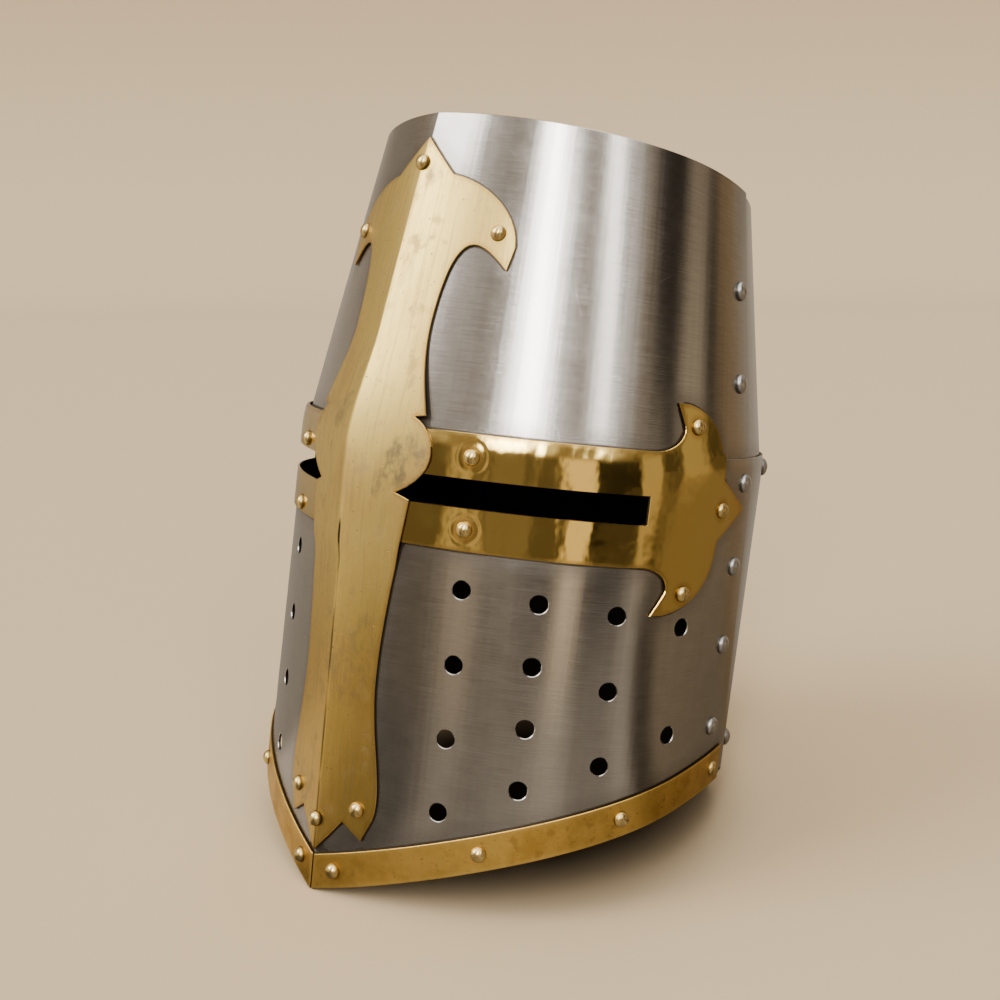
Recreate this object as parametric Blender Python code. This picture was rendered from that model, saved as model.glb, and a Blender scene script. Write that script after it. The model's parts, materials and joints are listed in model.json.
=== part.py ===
# Great helm: riveted steel plates with a keeled front, a brass cross and brass rim bands.
#
# It is modelled in the worn frame: +Z up with the sights level, the face towards -Y and the
# wearer's left towards +X. Every sheet is cut flat with its holes, where s is the distance round
# the brow from the front ridge and z the height, and is then bent over one shared form. Last, the
# helm is leaned back until the tip of its chin and the back of its rim stand on the ground.
import math
from collections import namedtuple

import bmesh
import bpy
import numpy as np
from mathutils import Matrix, Vector
from mathutils.geometry import interpolate_bezier

for old in list(bpy.data.objects):
    bpy.data.objects.remove(old, do_unlink=True)

# Form of the helm, in metres
HALF_WIDTH = 0.108          # brow, middle to side
DEPTH = 0.217               # brow, front ridge to back
CROWN_RISE = 0.1227         # brow line up to the crown's rim
CROWN_TILT = -0.177         # fall of the crown's rim for each metre backwards
CHIN_DROP = 0.1912          # brow line down to the chin's tip
SIDE_DROP = 0.138           # brow line down to the rim at the sides
BACK_DROP = 0.158           # brow line down to the rim at the back
CHIN_SLOPE = 0.31           # rise of the rim away from the chin's tip

# Sheets and their fit
STEEL = 0.0012
BRASS = 0.0009
GAP = 0.0003                # between any two sheets, and round a rivet
SEAM_MARGIN = 0.010         # from the side seam's edge to its upper rivets
SEAM_Z = 0.0035             # top edge of the lower plates
SIDE_SEAM = 0.1875          # brow plate's back edge, round the brow from the ridge
FACE_STEP = 0.002           # face plate's back edge, behind the brow plate's
FACE_FLARE = 0.014          # how much further back that edge lies at the rim
SIDE_LAP = 0.018            # how far the back plates reach forward behind it
CROWN_INSET = 0.0015        # crown plate below the rim

# Sights and breaths
SIGHT_Z = -0.0173           # middle of the sights
SIGHT_HALF = 0.0056
SIGHT_START = 0.0200        # from the ridge, under the upright
SIGHT_END = 0.1229
SIGHT_MARGIN = 0.0012       # from the sights up to the lower edge of the plates behind the seam
BREATH_RADIUS = 0.0037
BREATH_FIRST = 0.0537       # first column from the ridge
BREATH_PITCH = 0.0309       # between columns

# Cross
CROSS_WIDTH = 0.0495        # ridge to the widest point of the upright's head
TIP_MARGIN = 0.0105         # from its tip up to the crown's rim
FOOT_MARGIN = 0.0023        # from its foot down to the rim bands
ARM_HALF = 0.0227           # half the arm's height
ARM_TUCK = 0.0050           # from the sight to the arm's inner end, under the upright
ARM_MARGIN = 0.0060         # from the arm's point to the brow plate's back edge
FLEUR_HALF = 0.0419         # sight middle to a hook's tip
STEP_RUN = 0.003            # height over which brass steps from one plate to the next

# Rim bands
BAND_HEIGHT = 0.0152
BAND_MARGIN = 0.0071        # from its end to the face plate's back edge

# Rivets
HEAD_RADIUS = 0.0033
HEAD_HEIGHT = 0.0023
STEEL_HEAD_RADIUS = 0.0040
STEEL_HEAD_HEIGHT = 0.0024
SHANK_RADIUS = 0.0016
TAIL_RADIUS = 0.0026
TAIL_HEIGHT = 0.0008
SEAT = 0.0005               # under a head or tail, which lies flat on a bent sheet
RIDGE_SEAT = 0.0010         # under the tail of a rivet that goes through the ridge
DOME_SHOULDER = 0.71        # where a head's dome is broken, as a share of its radius and height
RIVET_DROP = 0.0042         # the right arm's inner rivets sit this much lower

# Fineness of the bends
EDGE_CLEAR = 0.002          # a rim point closer than this to the end of a sheet is left out
FRONT_STATIONS = 12
BACK_STATIONS = 9
UPPER_LEVELS = 3
LOWER_LEVELS = 3
BREATH_SIDES = 8
RIVET_SIDES = 8
CURVE_STEPS = 4
RIM_STEPS = 48
FLAT_ENOUGH = 0.03          # bends gentler than this share count as flat in a mitre
NEAR = 1e-5                 # a bend closer than this to an edge isn't cut
WELD = 2e-6
SHARP = math.radians(35)    # edges sharper than this are shaded as corners

# Plan sections, from the ridge round one side. Lengths along the helm are shares of DEPTH, those
# across it shares of HALF_WIDTH, the keel is the ridge's half angle in radians, and each pull is
# how far a curve's handle reaches, as a share of the quarter that it belongs to.
Section = namedtuple("Section", "width front widest back keel nose cheek nape_side nape_back")
CROWN = Section(0.803, 0.267, 0.103, 0.503, 0.10, 0.504, 0.526, 0.570, 0.559)
BROW = Section(1.000, 0.413, 0.035, 0.587, 0.29, 0.512, 0.527, 0.556, 0.550)
RIM = Section(0.985, 0.425, 0.006, 0.576, 0.22, 0.528, 0.598, 0.533, 0.540)

# The rim's sweep from the chin to the side: its two handles, as shares of the sweep's length, and
# behind it the turn down to the ground, as a share of what is left of the way to the back
CHIN_HANDLE = 0.37
SIDE_HANDLE = 0.69
BACK_TURN = 0.62

# Breaths of one side: how many in a column, and its first and last height as shares of CHIN_DROP
Column = namedtuple("Column", "count first last")
BREATHS = (
    Column(4, 0.289, 0.761),
    Column(4, 0.299, 0.689),
    Column(3, 0.311, 0.628),
    Column(2, 0.338, 0.572),
)


def section_at(section, t):
    """Plan point of a section; t runs 0 at the ridge, 1 at the widest place, 2 at the back."""
    width = section.width * HALF_WIDTH
    front = -section.front * DEPTH
    widest = section.widest * DEPTH
    back = section.back * DEPTH
    ridge = np.array([0.0, front])
    side = np.array([width, widest])
    nape = np.array([0.0, back])
    if t <= 1.0:
        keel = np.array([math.cos(section.keel), math.sin(section.keel)])
        handles = (
            ridge + keel * section.nose * width,
            side - np.array([0.0, section.cheek * (widest - front)]),
        )
        points = (ridge, *handles, side)
        share = t
    else:
        handles = (
            side + np.array([0.0, section.nape_side * (back - widest)]),
            nape + np.array([section.nape_back * width, 0.0]),
        )
        points = (side, *handles, nape)
        share = t - 1.0
    rest = 1.0 - share
    weights = (rest**3, 3 * rest**2 * share, 3 * rest * share**2, share**3)
    return sum(weight * point for weight, point in zip(weights, points))


def form_point(t, z):
    """A point of the shared form; above the brow the levels tilt towards the crown's plane."""
    brow = section_at(BROW, t)
    if z >= 0.0:
        share = z / CROWN_RISE
        plan = brow + (section_at(CROWN, t) - brow) * share
        return np.array([plan[0], plan[1], z + CROWN_TILT * plan[1] * share])
    plan = brow + (section_at(RIM, t) - brow) * (-z / CHIN_DROP)
    return np.array([plan[0], plan[1], z])


class Form:
    """The bent form as a grid of stations round the helm and levels up it."""

    def __init__(self):
        front = [i / FRONT_STATIONS for i in range(FRONT_STATIONS)]
        back = [1.0 + i / BACK_STATIONS for i in range(BACK_STATIONS + 1)]
        half = front + back
        last = len(half) - 1
        below = np.linspace(-CHIN_DROP - GAP, 0.0, LOWER_LEVELS + 1)
        above = np.linspace(0.0, CROWN_RISE, UPPER_LEVELS + 1)
        self.levels = np.concatenate([below, above[1:]])
        side = np.array([[form_point(t, z) for z in self.levels] for t in half])
        brow = side[:, LOWER_LEVELS]
        steps = np.linalg.norm(np.diff(brow, axis=0), axis=1)
        run = np.concatenate([[0.0], np.cumsum(steps)])
        self.half_round = run[-1]
        mirrored = side * np.array([-1.0, 1.0, 1.0])
        # One whole turn and a half, so that front and back plates are both unbroken
        self.stations = np.concatenate([-run[:0:-1], run, 2 * run[-1] - run[last - 1 :: -1]])
        self.points = np.concatenate([mirrored[:0:-1], side, mirrored[last - 1 :: -1]])
        self.mitres = self.find_mitres()

    def find_mitres(self):
        """At each grid point, the step that moves every face beside it outwards by one unit."""
        along = self.points[1:, :-1] - self.points[:-1, :-1] + self.points[1:, 1:] - self.points[:-1, 1:]
        up = self.points[:-1, 1:] - self.points[:-1, :-1] + self.points[1:, 1:] - self.points[1:, :-1]
        normals = np.cross(along, up)
        normals /= np.linalg.norm(normals, axis=2, keepdims=True)
        mitres = np.empty_like(self.points)
        rows, cols = self.points.shape[:2]
        for i in range(rows):
            for j in range(cols):
                near = normals[max(i - 1, 0) : i + 1, max(j - 1, 0) : j + 1].reshape(-1, 3)
                mitres[i, j] = np.linalg.lstsq(near, np.ones(len(near)), rcond=FLAT_ENOUGH)[0]
        return mitres

    def blend(self, grid, s, z):
        i = int(np.clip(np.searchsorted(self.stations, s) - 1, 0, len(self.stations) - 2))
        j = int(np.clip(np.searchsorted(self.levels, z) - 1, 0, len(self.levels) - 2))
        a = (s - self.stations[i]) / (self.stations[i + 1] - self.stations[i])
        b = (z - self.levels[j]) / (self.levels[j + 1] - self.levels[j])
        low = grid[i, j] * (1 - a) + grid[i + 1, j] * a
        high = grid[i, j + 1] * (1 - a) + grid[i + 1, j + 1] * a
        return low * (1 - b) + high * b

    def place(self, s, z, out):
        """The point at s and z, moved outwards from the form."""
        return Vector(self.blend(self.points, s, z) + self.blend(self.mitres, s, z) * out)

    def outward(self, s, z):
        return Vector(self.blend(self.mitres, s, z)).normalized()

    def reach(self, z):
        """True distances from the ridge at height z, and the stations that they belong to."""
        start = int(np.argmin(np.abs(self.stations)))
        ahead = self.stations[start:]
        run = np.array([self.blend(self.points, s, z) for s in ahead])
        steps = np.linalg.norm(np.diff(run, axis=0), axis=1)
        return np.concatenate([[0.0], np.cumsum(steps)]), ahead

    def from_ridge(self, distance, z):
        """The s of a point that lies a true distance from the ridge at height z."""
        reach, ahead = self.reach(z)
        return math.copysign(float(np.interp(abs(distance), reach, ahead)), distance)

    def to_ridge(self, s, z):
        """The true distance from the ridge of a point at s and z."""
        reach, ahead = self.reach(z)
        return float(np.interp(s, ahead, reach))


form = Form()

# Where each sheet lies: its inner side, measured outwards from the brow plate's outer side
INNER_BACK = -2 * STEEL - GAP
MIDDLE = -STEEL
OUTER = GAP
BRASS_ON_BROW = GAP
BRASS_ON_FACE = OUTER + STEEL + GAP
BRASS_ON_ARM = BRASS_ON_FACE + BRASS + GAP

# Edges that follow from the sizes above
LAP_Z = SIGHT_Z + SIGHT_HALF + SIGHT_MARGIN
BACK_START = SIDE_SEAM - SIDE_LAP
BACK_END = 2 * form.half_round - BACK_START
FACE_SEAM = SIDE_SEAM + FACE_STEP
SWEEP_END = FACE_SEAM + FACE_FLARE
BAND_END = SWEEP_END - BAND_MARGIN
ARM_TOP = SIGHT_Z + ARM_HALF
ARM_FOOT = SIGHT_Z - ARM_HALF
ARM_START = SIGHT_START - ARM_TUCK
ARM_REACH = SIDE_SEAM - ARM_MARGIN
CROSS_RISE = CROWN_RISE - TIP_MARGIN
CROSS_FALL = CHIN_DROP - BAND_HEIGHT - FOOT_MARGIN

# The ground that the leaned helm stands on, as a line in the worn frame
chin = form.place(0.0, -CHIN_DROP, OUTER)
nape = form.place(form.half_round, -BACK_DROP, 0.0)
LEAN = math.atan2(nape.z - chin.z, nape.y - chin.y)


def smooth(share):
    """A share eased in and out."""
    share = min(max(share, 0.0), 1.0)
    return share * share * (3 - 2 * share)


def sweep_curve():
    """The rim from the chin's tip to the side, as s and z."""
    rise = CHIN_SLOPE * CHIN_HANDLE * SWEEP_END
    corners = (
        (0.0, -CHIN_DROP),
        (CHIN_HANDLE * SWEEP_END, -CHIN_DROP + rise),
        (SIDE_HANDLE * SWEEP_END, -SIDE_DROP),
        (SWEEP_END, -SIDE_DROP),
    )
    return interpolate_bezier(*(Vector((*corner, 0.0)) for corner in corners), RIM_STEPS)


SWEEP = sweep_curve()


def rim_z(s):
    """Height of the rim: swept up from the chin, level at the side, flat on the ground behind."""
    s = abs(s)
    if s > form.half_round:
        s = 2 * form.half_round - s
    if s < SWEEP_END:
        return float(np.interp(s, [p.x for p in SWEEP], [p.y for p in SWEEP]))
    ground = chin.z + (form.place(s, -BACK_DROP, 0.0).y - chin.y) * math.tan(LEAN)
    turn = smooth((s - SWEEP_END) / (BACK_TURN * (form.half_round - SWEEP_END)))
    return -SIDE_DROP + (ground + SIDE_DROP) * turn


def ridge_points(shape):
    """Points given as true distances from the ridge, turned into s and z."""
    return [(form.from_ridge(u, z), z) for u, z in shape]


def bow(start, first, second, end):
    """A curve through two handles, without its last point."""
    corners = [Vector((*corner, 0.0)) for corner in (start, first, second, end)]
    return [(p.x, p.y) for p in interpolate_bezier(*corners, CURVE_STEPS + 1)[:-1]]


def disc(u, z, radius, sides):
    """A hole in a plate that is round once the plate is bent, as a ring of points."""
    s = form.from_ridge(u, z)
    along = (form.place(s + radius, z, 0.0) - form.place(s - radius, z, 0.0)) / (2 * radius)
    up = (form.place(s, z + radius, 0.0) - form.place(s, z - radius, 0.0)) / (2 * radius)
    skew = up.dot(along.normalized())
    rise = math.sqrt(up.length_squared - skew**2)
    ring_points = []
    for i in range(sides):
        angle = 2 * math.pi * (i + 0.5) / sides
        dz = radius * math.sin(angle) / rise
        ds = (radius * math.cos(angle) - skew * dz) / along.length
        ring_points.append((s + ds, z + dz))
    return ring_points


def face_out(mesh):
    """Turns the faces of a closed mesh outwards."""
    bmesh.ops.recalc_face_normals(mesh, faces=mesh.faces[:])
    if mesh.calc_volume(signed=True) < 0.0:
        bmesh.ops.reverse_faces(mesh, faces=mesh.faces[:])


def slab(outline, low, high):
    """A closed flat slab of an outline in s and z."""
    mesh = bmesh.new()
    face = mesh.faces.new([mesh.verts.new((s, z, low)) for s, z in outline])
    raised = bmesh.ops.extrude_face_region(mesh, geom=[face], use_keep_orig=True)
    lifted = [item for item in raised["geom"] if isinstance(item, bmesh.types.BMVert)]
    bmesh.ops.translate(mesh, vec=(0.0, 0.0, high - low), verts=lifted)
    face_out(mesh)
    return mesh


def cut_at(mesh, normal, places):
    """Cuts a mesh across at each place, so that it can bend there."""
    for place in places:
        geometry = mesh.verts[:] + mesh.edges[:] + mesh.faces[:]
        plane = Vector(normal) * float(place)
        bmesh.ops.bisect_plane(mesh, geom=geometry, dist=NEAR / 10, plane_co=plane, plane_no=normal)


def add_object(name, mesh, material):
    data = bpy.data.meshes.new(name)
    mesh.to_mesh(data)
    mesh.free()
    data.materials.append(material)
    data.shade_smooth()
    data.set_sharp_from_angle(angle=SHARP)
    piece = bpy.data.objects.new(name, data)
    bpy.context.scene.collection.objects.link(piece)
    return piece


def drilled(mesh, holes, thickness):
    """The flat sheet with every hole cut out of it."""
    if not holes:
        return mesh
    sheet = add_object("sheet", mesh, None)
    tool = bmesh.new()
    for ring in holes:
        plug = slab(ring, -thickness, 2 * thickness)
        joined = bpy.data.meshes.new("plug")
        plug.to_mesh(joined)
        plug.free()
        tool.from_mesh(joined)
        bpy.data.meshes.remove(joined)
    cutter = add_object("cutter", tool, None)
    cut = sheet.modifiers.new("holes", "BOOLEAN")
    cut.operation = "DIFFERENCE"
    cut.solver = "EXACT"
    cut.object = cutter
    shaped = sheet.evaluated_get(bpy.context.evaluated_depsgraph_get()).to_mesh()
    result = bmesh.new()
    result.from_mesh(shaped)
    for used in (sheet, cutter):
        data = used.data
        bpy.data.objects.remove(used)
        bpy.data.meshes.remove(data)
    return result


def bent_sheet(name, material, outline, thickness, inner, holes=(), steps=()):
    """A sheet cut flat, drilled, and bent over the form. inner gives its inner side at a height."""
    mesh = slab(outline, 0.0, thickness)
    across = [s for s, z in outline]
    heights = [z for s, z in outline]
    bends = [s for s in form.stations if min(across) + NEAR < s < max(across) - NEAR]
    levels = [z for z in sorted({*form.levels, *steps}) if min(heights) + NEAR < z < max(heights) - NEAR]
    cut_at(mesh, (1.0, 0.0, 0.0), bends)
    cut_at(mesh, (0.0, 1.0, 0.0), levels)
    mesh = drilled(mesh, holes, thickness)
    bmesh.ops.remove_doubles(mesh, verts=mesh.verts[:], dist=WELD)
    bmesh.ops.triangulate(mesh, faces=mesh.faces[:])
    for vert in mesh.verts:
        s, z, depth = vert.co
        vert.co = form.place(s, z, inner(z) + depth)
    face_out(mesh)
    return add_object(name, mesh, material)


def level(height):
    """A sheet that lies at one depth all over."""
    return lambda z: height


def metal(name, colour, roughness):
    material = bpy.data.materials.new(name)
    material.use_nodes = True
    shader = material.node_tree.nodes["Principled BSDF"]
    shader.inputs["Base Color"].default_value = (*colour, 1.0)
    shader.inputs["Metallic"].default_value = 1.0
    shader.inputs["Roughness"].default_value = roughness
    return material


# Materials, with the photographed object's colours
brushed_steel = metal("brushed_steel", (0.47, 0.46, 0.44), 0.34)
satin_brass = metal("satin_brass", (0.78, 0.60, 0.31), 0.36)
polished_brass = metal("polished_brass", (0.76, 0.52, 0.19), 0.16)
aged_brass = metal("aged_brass", (0.60, 0.41, 0.14), 0.38)
brass_rivet = metal("brass_rivet", (0.80, 0.60, 0.30), 0.24)
steel_rivet = metal("steel_rivet", (0.58, 0.57, 0.55), 0.26)

# Rivets: their place, the outer side of their outermost sheet and inner side of their innermost
Rivet = namedtuple("Rivet", "name metal u z outer inner")
ON_BROW = BRASS_ON_BROW + BRASS
ON_FACE = BRASS_ON_FACE + BRASS
FACE = OUTER + STEEL


def pair(name, kind, u, z, outer, inner, drop=0.0):
    """A rivet on the wearer's left and its twin on the right, which may sit lower."""
    return [
        Rivet(name + "_left", kind, u, z, outer, inner),
        Rivet(name + "_right", kind, -u, z - drop, outer, inner),
    ]


# Brass rivets of the cross on one side. Distances from the ridge are shares of the upright's
# width or of the arm's reach, and heights are shares of the cross's rise, its fall or half a fleur.
HEAD_RIVET = (0.83, 0.695)
FOOT_RIVET = (0.38, 0.875)
TIP_RIVET_RISE = 0.912
POINT_RIVET_FALL = 0.924
ARM_RIVET_REACH = 0.290
UPPER_HOOK_RIVET = (0.773, 0.79)
LOWER_HOOK_RIVET = (0.788, 0.79)
FLEUR_POINT_RIVET = 0.890

# Rivets in rows: shares of the band's length, the crown's rise, the chin's drop and the half round
BAND_RIVETS = (0.052, 0.374, 0.658, 0.951)
UPPER_SIDE_RIVETS = (0.29, 0.62)
LOWER_SIDE_RIVETS = (0.221, 0.397, 0.584)
BACK_RIVETS = (0.853, 0.706)
NAPE_RIVET = 0.70
FIRST_SIDE_RIVET = 0.74     # height in the seam's lap, as a share of the way down it


def cross_rivets():
    """The upright's rivets, the strips' at the arm's root, and three on each fleur."""
    w = CROSS_WIDTH
    rise = CROSS_RISE
    fall = -CROSS_FALL
    reach = ARM_REACH
    rivets = [
        Rivet("upright_rivet_tip", "brass", 0.0, TIP_RIVET_RISE * rise, ON_BROW, MIDDLE),
        Rivet("upright_rivet_point", "brass", 0.0, POINT_RIVET_FALL * fall, ON_FACE, OUTER),
    ]
    across, height = HEAD_RIVET
    rivets += pair("upright_rivet_head", "brass", across * w, height * rise, ON_BROW, MIDDLE)
    across, height = FOOT_RIVET
    rivets += pair("upright_rivet_foot", "brass", across * w, height * fall, ON_FACE, OUTER)
    root = ARM_RIVET_REACH * reach
    strip = 0.5 * (ARM_HALF + SIGHT_HALF)
    rivets += pair("arm_rivet_upper", "brass", root, SIGHT_Z + strip, ON_FACE, MIDDLE, RIVET_DROP)
    rivets += pair("arm_rivet_lower", "brass", root, SIGHT_Z - strip, ON_FACE, OUTER, RIVET_DROP)
    across, height = UPPER_HOOK_RIVET
    z = SIGHT_Z + height * FLEUR_HALF
    rivets += pair("fleur_rivet_upper", "brass", across * reach, z, ON_BROW, MIDDLE)
    across, height = LOWER_HOOK_RIVET
    z = SIGHT_Z - height * FLEUR_HALF
    rivets += pair("fleur_rivet_lower", "brass", across * reach, z, ON_FACE, OUTER)
    return rivets + pair("fleur_rivet_point", "brass", FLEUR_POINT_RIVET * reach, SIGHT_Z, ON_FACE, OUTER)


def band_rivets():
    """Four in each rim band; the last goes through the lower back plate too."""
    rivets = []
    for count, share in enumerate(BAND_RIVETS, start=1):
        s = share * BAND_END
        z = rim_z(s) + 0.5 * BAND_HEIGHT
        inner = MIDDLE if s > BACK_START else OUTER
        rivets += pair(f"band_rivet_{count}", "brass", form.to_ridge(s, z), z, ON_FACE, inner)
    return rivets


def seam_rivets():
    """The steel rivets of the side seams and of the seam round the back."""
    rivets = []
    for count, share in enumerate(UPPER_SIDE_RIVETS, start=1):
        z = share * CROWN_RISE
        u = form.to_ridge(SIDE_SEAM - SEAM_MARGIN, z)
        rivets += pair(f"side_rivet_upper_{count}", "steel", u, z, 0.0, INNER_BACK)
    u = form.to_ridge(SIDE_SEAM - 0.5 * SEAM_MARGIN, SEAM_Z)
    z = SEAM_Z + FIRST_SIDE_RIVET * (LAP_Z - SEAM_Z)
    rivets += pair("side_rivet_lower_1", "steel", u, z, FACE, INNER_BACK)
    for count, share in enumerate(LOWER_SIDE_RIVETS, start=2):
        rivets += pair(f"side_rivet_lower_{count}", "steel", u, -share * CHIN_DROP, FACE, MIDDLE)
    z = 0.5 * (SEAM_Z + LAP_Z)
    rivets.append(Rivet("back_rivet_middle", "steel", form.half_round, z, 0.0, INNER_BACK))
    for count, share in enumerate(BACK_RIVETS, start=1):
        rivets += pair(f"back_rivet_{count}", "steel", share * form.half_round, z, 0.0, INNER_BACK)
    z = -SIDE_DROP + 0.5 * BAND_HEIGHT
    return rivets + pair("nape_rivet", "steel", NAPE_RIVET * form.half_round, z, 0.0, MIDDLE)


RIVETS = cross_rivets() + band_rivets() + seam_rivets()


def inside(outline, s, z):
    """Whether a point lies in an outline: a line drawn back from it crosses an odd number of edges."""
    odd = False
    for (s0, z0), (s1, z1) in zip(outline, outline[1:] + outline[:1]):
        if (z0 > z) != (z1 > z) and s > s0 + (z - z0) / (z1 - z0) * (s1 - s0):
            odd = not odd
    return odd


def rivet_holes(outline, inner, outer):
    """Holes for the rivets that go through a sheet of this outline, lying between two depths."""
    rings = []
    for rivet in RIVETS:
        if rivet.inner >= outer or rivet.outer <= inner:
            continue
        for turn in (0.0, 2 * form.half_round):
            if inside(outline, form.from_ridge(rivet.u, rivet.z) + turn, rivet.z):
                hole = disc(rivet.u, rivet.z, SHANK_RADIUS + GAP, RIVET_SIDES)
                rings.append([(s + turn, z) for s, z in hole])
    return rings


def flip(outline):
    """The same outline on the wearer's right."""
    return [(-s, z) for s, z in reversed(outline)]


def ring(u_low, u_high, z_low, z_high):
    return ridge_points(((u_low, z_low), (u_high, z_low), (u_high, z_high), (u_low, z_high)))


# Plates


def crown_plate():
    """The flat top, set just below the rim and welded to the plates round it."""
    z = CROWN_RISE - CROWN_INSET
    lap = BACK_START - 2 * GAP
    far = 2 * form.half_round - lap
    front = [s for s in form.stations if abs(s) < lap]
    back = [s for s in form.stations if lap < s < far]
    edge = [form.place(s, z, MIDDLE - GAP) for s in (-lap, *front, lap)]
    edge += [form.place(s, z, INNER_BACK - GAP) for s in (lap, *back, far)]
    fall = CROWN_TILT * z / CROWN_RISE
    for corner in edge:
        corner.z = z + fall * corner.y
    mesh = bmesh.new()
    top = mesh.faces.new([mesh.verts.new(corner) for corner in edge])
    up = Vector((0.0, -fall, 1.0)).normalized()
    raised = bmesh.ops.extrude_face_region(mesh, geom=[top], use_keep_orig=True)
    lowered = [item for item in raised["geom"] if isinstance(item, bmesh.types.BMVert)]
    bmesh.ops.translate(mesh, vec=-STEEL * up, verts=lowered)
    face_out(mesh)
    add_object("crown_plate", mesh, brushed_steel)


def brow_plate():
    """The upper front, bent along the ridge; it reaches down behind the face plate."""
    low = [(-SIDE_SEAM, LAP_Z), (SIDE_SEAM, LAP_Z)]
    outline = low + [(SIDE_SEAM, CROWN_RISE), (-SIDE_SEAM, CROWN_RISE)]
    holes = rivet_holes(outline, MIDDLE, 0.0)
    bent_sheet("brow_plate", brushed_steel, outline, STEEL, level(MIDDLE), holes)


def rim_run(start, end):
    """Points of the rim between two places, with one at each bend that isn't close to either."""
    inside_run = [s for s in form.stations if start + EDGE_CLEAR < s < end - EDGE_CLEAR]
    return [(s, rim_z(s)) for s in (start, *inside_run, end)]


def face_plate():
    """The lower front with both sights and the breaths, over the brow plate and the back plates."""
    outline = rim_run(-SWEEP_END, SWEEP_END) + [(FACE_SEAM, SEAM_Z), (-FACE_SEAM, SEAM_Z)]
    holes = rivet_holes(outline, OUTER, FACE)
    for side in (-1, 1):
        holes.append(ring(side * SIGHT_START, side * SIGHT_END, SIGHT_Z - SIGHT_HALF, SIGHT_Z + SIGHT_HALF))
        for place, column in enumerate(BREATHS):
            for z in np.linspace(column.first, column.last, column.count):
                u = side * (BREATH_FIRST + place * BREATH_PITCH)
                holes.append(disc(u, -float(z) * CHIN_DROP, BREATH_RADIUS, BREATH_SIDES))
    bent_sheet("face_plate", brushed_steel, outline, STEEL, level(OUTER), holes)


def upper_back_plate():
    """The upper back, behind the brow plate at its sides and the lower back plate at its foot."""
    low = [(BACK_START, LAP_Z), (BACK_END, LAP_Z)]
    outline = low + [(BACK_END, CROWN_RISE), (BACK_START, CROWN_RISE)]
    holes = rivet_holes(outline, INNER_BACK, INNER_BACK + STEEL)
    bent_sheet("upper_back_plate", brushed_steel, outline, STEEL, level(INNER_BACK), holes)


def lower_back_plate():
    """Over the upper back plate; its front corners are notched to clear the brow plate."""
    notch = SIDE_SEAM + 2 * GAP
    far_notch = 2 * form.half_round - notch
    shelf = LAP_Z - 2 * GAP
    outline = rim_run(BACK_START, BACK_END)
    outline += [(BACK_END, shelf), (far_notch, shelf), (far_notch, SEAM_Z)]
    outline += [(notch, SEAM_Z), (notch, shelf), (BACK_START, shelf)]
    holes = rivet_holes(outline, MIDDLE, 0.0)
    bent_sheet("lower_back_plate", brushed_steel, outline, STEEL, level(MIDDLE), holes)


# Brass


def upright_outline():
    """Half of the upright from its tip down to its foot, as distances from the ridge and heights."""
    w = CROSS_WIDTH
    up = CROSS_RISE
    down = -CROSS_FALL
    corner = (0.317 * w, 0.877 * up)
    hook = (w, 0.62 * up)
    barb = (0.970 * w, 0.573 * up)
    throat = (0.65 * w, 0.647 * up)
    waist = (0.452 * w, 0.38 * up)
    notch = (0.626 * w, 0.083 * up)
    lobe = (0.533 * w, 0.077 * up)
    lobe_foot = (0.46 * w, 0.117 * down)
    shoulder = (0.586 * w, 0.130 * down)
    shin = (0.438 * w, 0.577 * down)
    ankle = (0.50 * w, 0.91 * down)
    half = [(0.0, up)]
    half += bow(corner, (0.66 * w, 0.86 * up), (1.02 * w, 0.76 * up), hook)
    half += bow(barb, (0.84 * w, 0.62 * up), (0.74 * w, 0.65 * up), throat)
    half += bow(throat, (0.49 * w, 0.64 * up), (0.455 * w, 0.50 * up), waist)
    half += bow(waist, (0.452 * w, 0.27 * up), (0.55 * w, 0.17 * up), notch)
    half += [notch]
    half += bow(lobe, (0.76 * w, 0.04 * up), (0.86 * w, 0.06 * down), lobe_foot)
    half += [lobe_foot]
    half += bow(shoulder, (0.54 * w, 0.25 * down), (0.43 * w, 0.42 * down), shin)
    half += bow(shin, (0.45 * w, 0.72 * down), (0.64 * w, 0.84 * down), ankle)
    half += [(0.436 * w, 0.948 * down), (0.246 * w, 0.914 * down), (0.0, down)]
    return half


def upright():
    """The cross's upright, folded along the ridge; it steps over the arms."""
    left = ridge_points(upright_outline())
    outline = left + flip(left[1:-1])
    edges = (ARM_FOOT - GAP - STEP_RUN, ARM_FOOT - GAP, ARM_TOP + GAP, ARM_TOP + GAP + STEP_RUN)
    depths = (BRASS_ON_FACE, BRASS_ON_ARM, BRASS_ON_ARM, BRASS_ON_BROW)

    def inner(z):
        return float(np.interp(z, edges, depths))

    holes = rivet_holes(outline, BRASS_ON_BROW, ON_FACE)
    bent_sheet("cross_upright", satin_brass, outline, BRASS, inner, holes, edges)


def arm_outline():
    """The arm on the wearer's left: a band that ends in a fleur with two hooks and a point."""
    reach = ARM_REACH
    root = (0.673 * reach, ARM_HALF)
    throat = (0.733 * reach, 0.82 * FLEUR_HALF)
    barb = (0.707 * reach, FLEUR_HALF)
    hook = (0.740 * reach, 0.995 * FLEUR_HALF)
    cheek = (0.882 * reach, 0.50 * FLEUR_HALF)
    half = bow(root, (0.725 * reach, ARM_HALF), (0.755 * reach, 0.70 * FLEUR_HALF), throat)
    half += [throat, barb]
    half += bow(hook, (0.80 * reach, 0.95 * FLEUR_HALF), (0.865 * reach, 0.78 * FLEUR_HALF), cheek)
    half += [cheek, (0.889 * reach, 0.30 * FLEUR_HALF)]
    upper = [(u, SIGHT_Z + z) for u, z in half]
    lower = [(u, SIGHT_Z - z) for u, z in reversed(half)]
    ends = [(ARM_START, ARM_FOOT), (ARM_START, ARM_TOP)]
    return ends + upper + [(reach, SIGHT_Z)] + lower


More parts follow.
